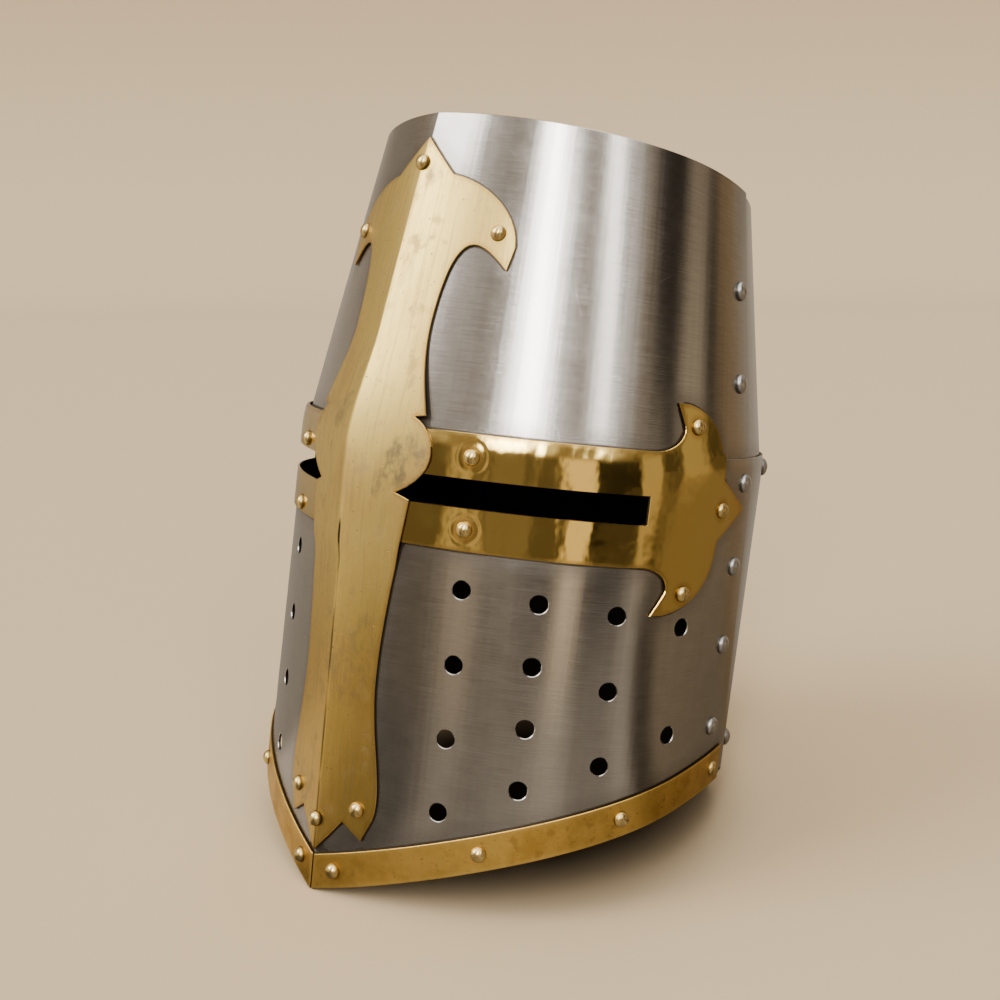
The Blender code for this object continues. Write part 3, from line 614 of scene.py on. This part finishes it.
# Face plate: the lower front, folded along the ridge and lapped over the brow plate and the back
# plates. Its two sights are sawn and filed, its breaths are drilled and lightly countersunk.
SIDE_DROP = 0.138
CHIN_SLOPE = 0.31
FACE_SEAM = SIDE_SEAM + 0.002
SWEEP_END = FACE_SEAM + 0.014
SIGHT_START = 0.0200
SIGHT_END = 0.1229
BREATH_RADIUS = 0.0037
BREATH_FIRST = 0.0537
BREATH_PITCH = 0.0309
OUTER = GAP
NAPE_Z = -0.158
NAPE_RUN = 0.62
Column = namedtuple("Column", "count first last")
BREATHS = (
    Column(4, 0.289, 0.761),
    Column(4, 0.299, 0.689),
    Column(3, 0.311, 0.628),
    Column(2, 0.338, 0.572),
)
sweep = interpolate_bezier(
    Vector((0.0, -CHIN_DROP, 0.0)),
    Vector((0.37 * SWEEP_END, -CHIN_DROP + 0.37 * CHIN_SLOPE * SWEEP_END, 0.0)),
    Vector((0.69 * SWEEP_END, -SIDE_DROP, 0.0)),
    Vector((SWEEP_END, -SIDE_DROP, 0.0)),
    96,
)


def rim_z(s):
    """Height of the rim: swept up from the chin, level at the side, flat on the ground behind."""
    s = abs(s)
    if s > form.half_round:
        s = 2 * form.half_round - s
    if s < SWEEP_END:
        return float(np.interp(s, [p.x for p in sweep], [p.y for p in sweep]))
    behind = form.sample(form.points, s, NAPE_Z)[0]
    ground = (math.tan(LEAN) * behind[1] * turn[2, 2] - shift[2]) / turn[2, 2]
    share = min((s - SWEEP_END) / (NAPE_RUN * (form.half_round - SWEEP_END)), 1.0)
    return -SIDE_DROP + (ground + SIDE_DROP) * share * share * (3 - 2 * share)


def rim_run(start, end, margin=0.0006):
    inside = [s for s in form.s if start + margin < s < end - margin]
    return [(s, rim_z(s)) for s in (start, *inside, end)]


def ring(u_low, u_high, z_low, z_high):
    return ridge_points(((u_low, z_low), (u_high, z_low), (u_high, z_high), (u_low, z_high)))


outline = rim_run(-SWEEP_END, SWEEP_END) + [(FACE_SEAM, SEAM_Z), (-FACE_SEAM, SEAM_Z)]
holes = rivet_holes("upright_rivet_point", "upright_rivet_foot", "arm_rivet", "fleur_rivet_point",
                    "fleur_rivet_lower", "band_rivet", "side_rivet_lower")
for side in (-1, 1):
    holes.append(ring(side * SIGHT_START, side * SIGHT_END, SIGHT_Z - SIGHT_HALF, SIGHT_Z + SIGHT_HALF))
    for place, column in enumerate(BREATHS):
        for z in np.linspace(column.first, column.last, column.count):
            height = -float(z) * CHIN_DROP
            s = form.from_ridge(side * (BREATH_FIRST + place * BREATH_PITCH), height)
            holes.append(round_hole(s, height, BREATH_RADIUS))
BAND_HEIGHT = 0.0152
BAND_SHORT = 0.0071
band_low = rim_run(0.5 * GAP, SWEEP_END - BAND_SHORT)
BAND = band_low + [(s, z + BAND_HEIGHT) for s, z in reversed(band_low)]
bent_sheet("face_sheet", "face_plate", steel, outline, STEEL, level(OUTER), holes,
           lines=[*BRASS_LINES, BAND, flip(BAND)])

# Back plates: two sheets bent round the back, the lower lapped over the upper at the brow, and both
# tucked behind the front plates at the sides. Plain steel, riveted through the laps.
SIDE_LAP = 0.018
BACK_START = SIDE_SEAM - SIDE_LAP
BACK_END = 2 * form.half_round - BACK_START
INNER_BACK = -2 * STEEL - GAP


def back_holes(*names):
    """Holes in the back plates, where s runs on past the nape on the wearer's right."""
    rings = []
    for node in RIVETS:
        if node.startswith(names):
            s, z = RIVETS[node][:2]
            rings.append(round_hole(s + 2 * form.half_round if s < 0.0 else s, z, SHANK_HOLE))
    return rings


outline = [(BACK_START, LAP_Z), (BACK_END, LAP_Z), (BACK_END, CROWN_RISE), (BACK_START, CROWN_RISE)]
holes = back_holes("side_rivet_upper", "side_rivet_lower_1", "back_rivet")
far_seam = 2 * form.half_round - SIDE_SEAM
seams = [[(SIDE_SEAM, CROWN_RISE), (SIDE_SEAM, SEAM_Z)], [(SIDE_SEAM, SEAM_Z), (far_seam, SEAM_Z)],
         [(far_seam, SEAM_Z), (far_seam, CROWN_RISE)]]
bent_sheet("upper_back_sheet", "upper_back_plate", steel, outline, STEEL,
           level(INNER_BACK), holes, lines=seams)
notch = SIDE_SEAM + 2 * GAP
far_notch = 2 * form.half_round - notch
shelf = LAP_Z - 2 * GAP
outline = rim_run(BACK_START, BACK_END) + [(BACK_END, shelf), (far_notch, shelf), (far_notch, SEAM_Z)]
outline += [(notch, SEAM_Z), (notch, shelf), (BACK_START, shelf)]
holes = back_holes("side_rivet_lower_2", "side_rivet_lower_3", "side_rivet_lower_4", "back_rivet",
                   "nape_rivet", "band_rivet_4")
bent_sheet("lower_back_sheet", "lower_back_plate", steel, outline, STEEL,
           level(MIDDLE), holes)

# Crown plate: a flat sheet of the same steel, let in just below the top edge and welded from inside.
# It is seen only from above.
crown_z = CROWN_RISE - CROWN_INSET
lap = BACK_START - 2 * GAP
mesh = bmesh.new()
edge = []
for low, high, depth in ((-lap, lap, MIDDLE - GAP), (lap, 2 * form.half_round - lap, INNER_BACK - GAP)):
    run = np.array([low, *(s for s in form.s if low < s < high), high])
    heights = np.full(len(run), crown_z)
    spots = form.sample(form.points, run, heights) + form.sample(form.normals, run, heights) * depth
    spots[:, 2] = crown_z + CROWN_TILT * crown_z / CROWN_RISE * spots[:, 1]
    edge += [mesh.verts.new(spot) for spot in spots @ turn.T + shift]
top = level_face(mesh, edge)
lowered = bmesh.ops.extrude_face_region(mesh, geom=[top], use_keep_orig=True)["geom"]
push(mesh, lowered, -STEEL * crown_axis)
bmesh.ops.recalc_face_normals(mesh, faces=mesh.faces[:])
crown = as_object(mesh, "crown_sheet")
grid = crown.data.uv_layers.new(name="sheet")
for loop in crown.data.loops:
    grid.data[loop.index].uv = crown.data.vertices[loop.vertex_index].co.xy
reach = crown.data.attributes.new("reach", "FLOAT", "POINT")
reach.data.foreach_set("value", [FAR_OFF] * len(crown.data.vertices))
crown.data.materials.append(steel)
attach(crown, "root")
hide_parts("crown_plate")

# Arms of the cross: polished brass bands that frame the sights and end in fleurs. They were worked
# with the hammer, so they mirror in waves, and the rivets at their roots sit in struck rings.
BRASS_ON_BROW = GAP
BRASS_ON_FACE = OUTER + STEEL + GAP
BRASS_ON_ARM = BRASS_ON_FACE + BRASS + GAP
STEP_RUN = 0.003
RING_RADIUS = 0.0056


def near_edge(graph):
    """A narrow strip along the brass's own edges."""
    return graph.mark("reach").size().between(0.0022, 0.0006)


def paint_shade_inside(graph, colour):
    """The brass's colour, painted nearly black on its cut edges and inner side as painted shade."""
    return graph.tint(0.9 * graph.mark("inside"), colour, (0.10, 0.06, 0.02))


def mirror_brass():
    material, graph = metal("mirror_brass")
    wave = graph.noise(graph.along_sheet(34.0, 8.0), detail=2.0, roughness=0.4)
    slow = graph.noise(graph.along_sheet(13.0, 9.0, 4.0), detail=1.0)
    dint = graph.noise(graph.along_sheet(110.0, 80.0, 8.0), detail=2.0)
    grain = graph.noise(graph.along_sheet(1500.0, 120.0, 2.0), detail=2.0)
    stain = graph.noise(graph.along_sheet(60.0, 60.0, 11.0), detail=4.0)
    uv = graph.node("ShaderNodeUVMap", {"uv_map": "sheet"})
    struck, halo = 0.0, 0.0
    for node in RIVETS:
        if node.startswith(("arm_rivet", "fleur_rivet")):
            away = graph.away_from(uv, RIVETS[node][0], RIVETS[node][1])
            halo = halo + away.between(0.0062, 0.0034)
            if node.startswith("arm_rivet"):
                struck = struck + away.between(RING_RADIUS + 0.0016, RING_RADIUS) \
                    * away.between(RING_RADIUS - 0.0018, RING_RADIUS)
    edge = near_edge(graph)
    colour = graph.tint(0.3 + 0.5 * slow + 0.3 * stain, (0.68, 0.47, 0.12), (0.90, 0.66, 0.21))
    colour = graph.tint(halo * 0.5, colour, (0.55, 0.28, 0.05))
    colour = graph.tint(edge * (0.1 + 0.6 * stain), colour, (0.50, 0.27, 0.05))
    colour = paint_shade_inside(graph, colour)
    rough = 0.05 + 0.08 * stain.between(0.45, 0.75) + 0.04 * grain + 0.12 * edge + 0.1 * halo
    hammered = 0.0018 * wave + 0.0030 * slow + 0.00022 * dint
    relief = hammered - 0.00010 * struck * (dint + stain - 0.4) + 0.000003 * grain
    graph.finish(colour, rough, relief)
    return material


arm_brass = mirror_brass()
sight = ring(SIGHT_START, SIGHT_END, SIGHT_Z - SIGHT_HALF, SIGHT_Z + SIGHT_HALF)
steps = tuple(np.linspace(SEAM_Z + 2 * GAP, SEAM_Z + 2 * GAP + STEP_RUN, 5))


def over_seam(z):
    """The arm's depth: it lies on the face plate, and steps down to the brow plate above the seam."""
    share = np.clip((z - steps[0]) / STEP_RUN, 0.0, 1.0)
    return BRASS_ON_FACE + (BRASS_ON_BROW - BRASS_ON_FACE) * share * share * (3 - 2 * share)


for side, outline, slot_hole in (("left", ARM, sight), ("right", flip(ARM), flip(sight))):
    holes = [*rivet_holes("arm_rivet", "fleur_rivet", side=side), slot_hole]
    bent_sheet(f"arm_brass_{side}", f"cross_arm_{side}", arm_brass, outline, BRASS,
               over_seam, holes, steps, [outline])

# Upright of the cross: satin brass folded along the ridge and laid over the arms' inner ends. Its
# pale face is smudged with tarnish, and painted darker and more golden towards the foot as painted
# shade.
Stain = namedtuple("Stain", "s z radius strength")
STAINS = (
    Stain(0.028, -0.008, 0.013, 0.75),
    Stain(0.018, -0.016, 0.007, 0.45),
    Stain(-0.005, 0.012, 0.004, 0.60),
    Stain(-0.012, 0.006, 0.006, 0.40),
    Stain(0.012, -0.090, 0.020, 0.30),
    Stain(-0.012, -0.150, 0.010, 0.35),
    Stain(0.008, 0.098, 0.006, 0.45),
)


def satin_brass():
    material, graph = metal("satin_brass")
    uv = graph.node("ShaderNodeUVMap", {"uv_map": "sheet"})
    height = graph.axis(uv, 1)
    cloud = graph.noise(graph.along_sheet(48.0, 22.0), detail=4.0)
    smudge = graph.noise(graph.along_sheet(85.0, 60.0, 6.0), detail=5.0, roughness=0.6)
    streak = graph.noise(graph.along_sheet(700.0, 26.0, 3.0), detail=3.0)
    speck = graph.noise(graph.along_sheet(900.0, 700.0, 8.0), detail=1.0)
    blot = graph.noise(graph.along_sheet(230.0, 130.0, 9.0), detail=5.0, roughness=0.7)
    # Painted shade: the colour darkens and turns more golden towards the foot.
    low = height.between(-0.03, -0.11)
    colour = graph.tint(low, (0.93, 0.68, 0.20), (0.80, 0.53, 0.13))
    colour = graph.tint(cloud.between(0.45, 0.70) * 0.55, colour, (0.72, 0.45, 0.14))
    mark = smudge.between(0.56, 0.68)
    colour = graph.tint(mark * 0.55, colour, (0.38, 0.26, 0.11))
    colour = graph.tint(streak.between(0.48, 0.72) * 0.5, colour, (0.50, 0.36, 0.14))
    colour = graph.tint(blot.between(0.50, 0.80) * 0.5, colour, (0.52, 0.38, 0.15))
    colour = graph.tint(speck.between(0.70, 0.76) * 0.7, colour, (0.16, 0.11, 0.06))
    for stain in STAINS:
        ragged = graph.away_from(uv, stain.s, stain.z) + 2.0 * stain.radius * (smudge - 0.5)
        share = stain.strength * ragged.between(stain.radius, 0.6 * stain.radius)
        colour = graph.tint(share * blot.between(0.38, 0.62), colour, (0.27, 0.21, 0.13))
    across = graph.axis(uv, 0)
    off_ridge = across.size()
    crack_reach = height.between(-0.030, -0.040) * streak.between(0.35, 0.55)
    crack = off_ridge.between(0.00035, 0.00010) * crack_reach
    slit_reach = height.between(-0.046, -0.042) * height.between(-0.033, -0.037)
    slit = off_ridge.between(0.00022, 0.00008) * slit_reach
    colour = graph.tint(0.8 * crack + 0.5 * slit, colour, (0.05, 0.035, 0.02))
    edge = near_edge(graph)
    colour = graph.tint(edge * (0.1 + 0.6 * smudge), colour, (0.55, 0.30, 0.07))
    colour = paint_shade_inside(graph, colour)
    rough = 0.22 + 0.10 * cloud + 0.10 * streak + 0.08 * blot + 0.10 * mark - 0.05 * low
    relief = 0.000014 * streak - 0.00003 * speck.between(0.70, 0.76) + 0.00018 * cloud
    graph.finish(colour, rough, relief)
    return material


LOW_CLIMB = 0.012
HIGH_CLIMB = 0.034
upright_brass = satin_brass()
arm_foot, arm_top = SIGHT_Z - ARM_HALF, SIGHT_Z + ARM_HALF
climbs = (arm_foot - GAP - LOW_CLIMB, arm_foot - GAP, arm_top + GAP, arm_top + GAP + HIGH_CLIMB)


def over_arms(z):
    """The upright's depth: on the face plate, over the arms, then down to the brow plate."""
    first = np.clip((z - climbs[0]) / LOW_CLIMB, 0.0, 1.0)
    last = np.clip((z - climbs[2]) / HIGH_CLIMB, 0.0, 1.0)
    up = (BRASS_ON_ARM - BRASS_ON_FACE) * first * first * (3 - 2 * first)
    down = (BRASS_ON_ARM - BRASS_ON_BROW) * last * last * (3 - 2 * last)
    return BRASS_ON_FACE + up - down


steps = (*np.linspace(climbs[0], climbs[1], 9), *np.linspace(climbs[2], climbs[3], 17))
bent_sheet("upright_brass", "cross_upright", upright_brass, UPRIGHT, BRASS, over_arms,
           rivet_holes("upright_rivet"), steps, [UPRIGHT], eased=0.024)

# Rim bands: two strips of sheet brass along the front of the rim, riveted on and meeting at the
# ridge. The brass has aged to a mottled golden brown.


def old_brass():
    material, graph = metal("old_brass")
    cloud = graph.noise(graph.in_metal(55.0), detail=5.0, roughness=0.6)
    blot = graph.noise(graph.in_metal(170.0, 3.0), detail=4.0, roughness=0.6)
    speck = graph.noise(graph.in_metal(800.0, 5.0), detail=1.0)
    streak = graph.noise(graph.along_sheet(60.0, 1300.0, 3.0), detail=2.0)
    edge = near_edge(graph)
    colour = graph.tint(cloud.between(0.35, 0.68), (0.80, 0.49, 0.11), (0.53, 0.30, 0.055))
    colour = graph.tint(blot.between(0.55, 0.70) * 0.5, colour, (0.34, 0.18, 0.045))
    colour = graph.tint(speck.between(0.68, 0.76) * 0.6, colour, (0.15, 0.09, 0.03))
    colour = graph.tint(edge * 0.35, colour, (0.88, 0.58, 0.15))
    colour = paint_shade_inside(graph, colour)
    rough = 0.27 + 0.16 * cloud + 0.08 * blot + 0.05 * streak
    relief = 0.00012 * cloud + 0.00002 * blot + 0.000006 * streak - 0.00003 * speck.between(0.68, 0.76)
    graph.finish(colour, rough, relief)
    return material


band_brass = old_brass()
for side, outline in (("left", BAND), ("right", flip(BAND))):
    holes = rivet_holes("band_rivet", side=side)
    bent_sheet(f"band_brass_{side}", f"rim_band_{side}", band_brass, outline, BRASS,
               level(BRASS_ON_FACE), holes, lines=[outline])

# Rivets: turned brass ones in the cross and the bands, larger steel ones in the seams. Each has a
# domed head outside and is hammered flat inside, and its colour is darker in the corner under its head.
Head = namedtuple("Head", "radius height")
BRASS_HEAD = Head(0.0033, 0.0025)
STEEL_HEAD = Head(0.0040, 0.0026)
SHANK_RADIUS = 0.0016
TAIL_RADIUS = 0.0026
SKIRT = 0.0003
TAIL_HEIGHT = 0.0006
NECK_HEIGHT = 0.0008
DOME_STEPS = 9
HEAD_SIDES = 40


def rivet_metal(name, colour, worn):
    """Polished on the crown of the head, and dull and darker round its foot."""
    material, graph = metal(name)
    foot = graph.mark("foot")
    mottle = graph.noise(graph.in_metal(420.0), detail=3.0)
    shade = graph.tint(mottle * 0.45, colour, worn)
    shade = graph.tint(foot.between(0.55, 1.0), shade, tuple(0.35 * value for value in worn))
    graph.finish(shade, 0.18 + 0.08 * mottle + 0.2 * foot, 0.00003 * mottle)
    return material


brass_head = rivet_metal("brass_head", (0.88, 0.66, 0.27), (0.58, 0.39, 0.12))
steel_head = rivet_metal("steel_head", (0.66, 0.65, 0.63), (0.42, 0.40, 0.37))
for node, (s, z, normal, here, depths) in RIVETS.items():
    brass = node.startswith(("upright", "arm", "fleur", "band"))
    head = BRASS_HEAD if brass else STEEL_HEAD
    crest = depths.max()
    tail = depths.min()
    profile = []
    for i in range(DOME_STEPS + 1):
        angle = 0.5 * math.pi * i / DOME_STEPS
        profile.append((head.radius * math.sin(angle), crest - head.height * (1 - math.cos(angle))))
    under = crest - head.height - SKIRT
    profile += [(head.radius, under), (SHANK_RADIUS, under)]
    profile += [(SHANK_RADIUS, tail + NECK_HEIGHT), (TAIL_RADIUS, tail + TAIL_HEIGHT)]
    profile += [(0.9 * TAIL_RADIUS, tail), (0.0, tail)]
    mesh = bmesh.new()
    corners = [mesh.verts.new((r, 0.0, h)) for r, h in profile]
    lines = [mesh.edges.new(corners[i:i + 2]) for i in range(len(corners) - 1)]
    bmesh.ops.spin(mesh, geom=corners + lines, cent=(0.0, 0.0, 0.0), axis=(0.0, 0.0, 1.0),
                   steps=HEAD_SIDES, angle=2 * math.pi, use_merge=True)
    bmesh.ops.remove_doubles(mesh, verts=mesh.verts[:], dist=1e-6)
    bmesh.ops.recalc_face_normals(mesh, faces=mesh.faces[:])
    falls = [min(max((crest - vert.co.z) / head.height, 0.0), 1.0) for vert in mesh.verts]
    out = Vector(normal)
    place = Matrix.Translation(Vector(here)) @ out.to_track_quat("Z", "Y").to_matrix().to_4x4()
    mesh.transform(stand @ place)
    rivet = as_object(mesh, node + "_turned")
    rivet.data.shade_smooth()
    rivet.data.set_sharp_from_angle(angle=math.radians(40))
    foot = rivet.data.attributes.new("foot", "FLOAT", "POINT")
    foot.data.foreach_set("value", falls)
    rivet.data.materials.append(brass_head if brass else steel_head)
    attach(rivet, "root")
    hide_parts(node)

# Floor and studio: a plain pale floor that sweeps up behind, under soft light, with a painted shadow
# under the helm. Two tall soft boxes draw the bright bands down the steel, a wide one lights the brass,
# and a flag shades the right. The polished arms and the face plate mirror rows of cards low round the
# helm: light in the sky, and painted on the floor as painted reflections, where the floor that only the
# metal sees is painted dim as painted shade.
Card = namedtuple("Card", "azimuth strength colour")
WARM = (1.0, 0.80, 0.55)
TAN = (1.0, 0.68, 0.36)
PALE = (1.0, 0.89, 0.74)
LOW_CARDS = (
    Card(-180, 0.40, PALE), Card(-166, 0.50, PALE), Card(-64, 0.45, PALE), Card(-60, 0.75, PALE),
    Card(-17, 0.75, PALE), Card(-13, 0.14, WARM), Card(4, 0.14, WARM), Card(9, 0.59, WARM),
    Card(13, 0.59, WARM), Card(17, 0.14, WARM), Card(20, 0.24, WARM), Card(27, 0.24, WARM),
    Card(31, 0.13, WARM), Card(44, 0.13, WARM), Card(46.5, 1.15, WARM), Card(53, 1.15, WARM),
    Card(56, 0.03, WARM), Card(81, 0.03, WARM), Card(83.5, 0.54, WARM), Card(96, 0.54, WARM),
    Card(99, 0.22, WARM), Card(103, 0.08, WARM), Card(107, 0.08, WARM), Card(112, 0.46, WARM),
    Card(131, 0.44, WARM), Card(139, 0.08, WARM), Card(146, 0.08, WARM), Card(153, 0.26, TAN),
    Card(162, 0.30, TAN), Card(174, 0.38, PALE), Card(180, 0.40, PALE),
)
# Cards painted on the floor as painted reflections, seen only in the metal.
PAINTED_FLOOR_CARDS = (
    Card(-180, 0.20, PALE), Card(-166, 0.24, PALE), Card(-64, 0.18, PALE), Card(-58, 0.36, PALE),
    Card(-18, 0.36, PALE), Card(-12, 0.06, PALE), Card(4, 0.06, PALE), Card(10, 0.20, PALE),
    Card(14, 0.20, PALE), Card(20, 0.12, PALE), Card(30, 0.17, PALE), Card(40, 0.20, PALE),
    Card(46, 0.26, PALE), Card(54, 0.26, PALE), Card(60, 0.16, PALE), Card(76, 0.16, PALE),
    Card(81, 0.25, PALE), Card(86, 0.25, PALE), Card(90, 0.04, WARM), Card(97, 0.04, WARM),
    Card(103, 0.14, WARM), Card(146, 0.14, WARM), Card(158, 0.14, TAN), Card(180, 0.20, PALE),
)


def azimuth_of(x, y):
    """Degrees round from the helm's front towards the wearer's left."""
    return x.math("ARCTAN2", x, 0.0 - y) * math.degrees(1.0)


def cards(graph, azimuth, row):
    """A row of cards that the metal mirrors round the helm in a dim room: light in the sky, and painted
    on the floor as painted reflections.
    """
    stops = []
    for card in row:
        colour = [card.strength * value for value in card.colour]
        stops.append((card.azimuth / 360.0 + 0.5, (*colour, 1.0)))
    return graph.node("ShaderNodeValToRGB", {"stops": stops}, {"Fac": azimuth / 360.0 + 0.5})


FLOOR_HALF_WIDTH = 5.0
FLOOR_AHEAD = 3.0
FLOOR_BEHIND = 2.6
SWEEP_RADIUS = 1.2
SWEEP_STEPS = 32
WALL_HEIGHT = 2.6
FLOOR_TURN = math.radians(43.6)
mesh = bmesh.new()
corners = [mesh.verts.new((side * FLOOR_HALF_WIDTH, -FLOOR_AHEAD, 0.0)) for side in (-1, 1)]
front = mesh.edges.new(corners)
made = bmesh.ops.extrude_edge_only(mesh, edges=[front])["geom"]
push(mesh, made, (0.0, FLOOR_AHEAD + FLOOR_BEHIND, 0.0))
far = [item for item in made if not isinstance(item, bmesh.types.BMFace)]
bent = bmesh.ops.spin(mesh, geom=far, cent=(0.0, FLOOR_BEHIND, SWEEP_RADIUS), axis=(1.0, 0.0, 0.0),
                      steps=SWEEP_STEPS, angle=math.pi / 2)["geom_last"]
foot = [item for item in bent if isinstance(item, bmesh.types.BMEdge)]
made = bmesh.ops.extrude_edge_only(mesh, edges=foot)["geom"]
push(mesh, made, (0.0, 0.0, WALL_HEIGHT))
bmesh.ops.rotate(mesh, verts=mesh.verts[:], matrix=Matrix.Rotation(FLOOR_TURN, 3, "Z"))
bmesh.ops.recalc_face_normals(mesh, faces=mesh.faces[:])
floor = as_object(mesh, "floor")
floor.data.shade_smooth()
floor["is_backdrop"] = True
pale = bpy.data.materials.new("pale_floor")
graph = Graph(pale)
spot = graph.node("ShaderNodeTexCoord", output=3)
x = graph.axis(spot, 0)
y = graph.axis(spot, 1)
reach = graph.node("ShaderNodeVectorMath", {"operation": "LENGTH"}, {0: spot}, output=1)
CREAM = (0.60, 0.455, 0.28)
PAINTED_SHADOW = (0.05, 0.035, 0.02)
PAINTED_DIM_ROOM = (0.055, 0.045, 0.034)
SHADOW_UNDER_HELM = (0.125, 0.05)
NEAR_FLOOR = (1.50, 0.75)
# Painted shadow: the floor is painted dark under the helm.
floor_with_painted_shadow = graph.tint(reach.between(*SHADOW_UNDER_HELM), CREAM, PAINTED_SHADOW)
graph.feed(graph.shader.inputs["Base Color"], floor_with_painted_shadow)
graph.feed(graph.shader.inputs["Roughness"], 0.9)
graph.feed(graph.shader.inputs["Specular IOR Level"], 0.1)
round_helm = azimuth_of(x, y)
# Painted reflection and painted shade: as the metal sees it, the floor is painted dim with the cards
# painted on.
low = graph.tint(0.50, PAINTED_DIM_ROOM, cards(graph, round_helm, LOW_CARDS))
painted_reflection = graph.tint(reach.between(*NEAR_FLOOR), low, cards(graph, round_helm, PAINTED_FLOOR_CARDS))
dim = graph.node("ShaderNodeBsdfDiffuse", {}, {"Color": painted_reflection})
seen = graph.node("ShaderNodeLightPath")
surface = Socket(graph, graph.shader.outputs["BSDF"])
either = graph.node("ShaderNodeMixShader", {}, {0: seen, 1: dim, 2: surface})
graph.feed(graph.tree.nodes["Material Output"].inputs["Surface"], either)
floor.data.materials.append(pale)

SoftBox = namedtuple("SoftBox", "azimuth tilt half_width edge strength")
SOFT_BOXES = (
    SoftBox(24.5, 0.35, 2.4, 6.0, 19.0),
    SoftBox(31.0, 0.35, 6.0, 9.0, 0.7),
    SoftBox(56.5, 0.65, 1.0, 5.0, 6.5),
    SoftBox(63.0, 0.65, 9.0, 8.0, 0.65),
    SoftBox(-157.0, 0.0, 5.0, 12.0, 2.6),
)
WIDE_BOX = SoftBox(-33.0, 0.0, 15.0, 9.0, 6.0)
WIDE_GLOW = SoftBox(-34.0, 0.0, 30.0, 14.0, 0.35)
TILT_FROM = 18.0
WIDE_BOX_FOOT = (17.0, 26.0)
BOX_FEET = (15.0, 23.0)
BOX_TOPS = (64.0, 56.0)
CARD_TOPS = (12.0, 19.0)
AIR_RISE = (10.0, 50.0)
CEILING = 2.2
CEILING_EDGE = (60.0, 66.0)
FLAG_TILT = 0.7
FLAG_NEAR_SIDE = (83.0, 93.0)
FLAG_FAR_SIDE = (124.0, 112.0)
LOW_AIR = (0.30, 0.225, 0.15)
HIGH_AIR = (0.42, 0.36, 0.29)
FLAG = (0.03, 0.024, 0.018)
BACKDROP = (0.95, 0.80, 0.60, 1.0)


def shone(azimuth, elevation, box):
    """The light of a tall box with soft sides, which leans as it rises."""
    off = azimuth - box.azimuth
    if box.tilt:
        off = off - box.tilt * (elevation - TILT_FROM)
    return box.strength * off.size().between(box.half_width + box.edge, box.half_width)


world = bpy.data.worlds.new("studio")
bpy.context.scene.world = world
graph = Graph(world)
back = graph.tree.nodes["Background"]
way = graph.node("ShaderNodeTexCoord", output=0)
x = graph.axis(way, 0)
y = graph.axis(way, 1)
up = graph.axis(way, 2)
azimuth = azimuth_of(x, y)
elevation = up.math("ARCSINE", up) * math.degrees(1.0)
light = graph.tint(elevation.between(*AIR_RISE), LOW_AIR, HIGH_AIR)
flag = azimuth - FLAG_TILT * (elevation - TILT_FROM)
dark = flag.between(*FLAG_NEAR_SIDE) * flag.between(*FLAG_FAR_SIDE)
light = graph.tint(dark, light, FLAG)
light = graph.tint(elevation.between(*CARD_TOPS), cards(graph, azimuth, LOW_CARDS), light)
above = elevation.between(*BOX_FEET) * elevation.between(*BOX_TOPS)
glow = shone(azimuth, elevation, WIDE_BOX) * elevation.between(*WIDE_BOX_FOOT)
for box in (WIDE_GLOW, *SOFT_BOXES):
    glow = glow + shone(azimuth, elevation, box)
glow = glow * above + CEILING * elevation.between(*CEILING_EDGE)
boxes = graph.node("ShaderNodeCombineXYZ", {}, {"X": glow, "Y": 0.985 * glow, "Z": 0.965 * glow})
light = graph.node("ShaderNodeVectorMath", {"operation": "ADD"}, {0: light, 1: boxes})
graph.feed(back.inputs["Color"], light)
plain = graph.node("ShaderNodeBackground", {}, {"Color": BACKDROP})
seen = graph.node("ShaderNodeLightPath")
either = graph.node("ShaderNodeMixShader", {}, {0: seen, 1: Socket(graph, back.outputs[0]), 2: plain})
graph.feed(graph.tree.nodes["World Output"].inputs["Surface"], either)

# Camera: where the photographed helm was seen from, in the worn frame, leaned with the helm.
EYE = Vector((0.398561, -0.433766, 0.044118))
RIGHT = Vector((0.725832, 0.681819, 0.091054))
ABOVE = Vector((-0.150845, 0.028620, 0.988143))
AHEAD = Vector((-0.671129, 0.730960, -0.123623))
LENS_SHARE = 1.29957
lens = bpy.data.cameras.new("camera")
lens.sensor_width = 36.0
lens.lens = LENS_SHARE * lens.sensor_width
camera = bpy.data.objects.new("camera", lens)
bpy.context.scene.collection.objects.link(camera)
seat = Matrix((RIGHT, ABOVE, -AHEAD)).transposed().to_4x4()
seat.translation = EYE
camera.matrix_world = stand @ seat
bpy.context.scene.camera = camera

boxes = {"cad": cad_box, "visual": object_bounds()}
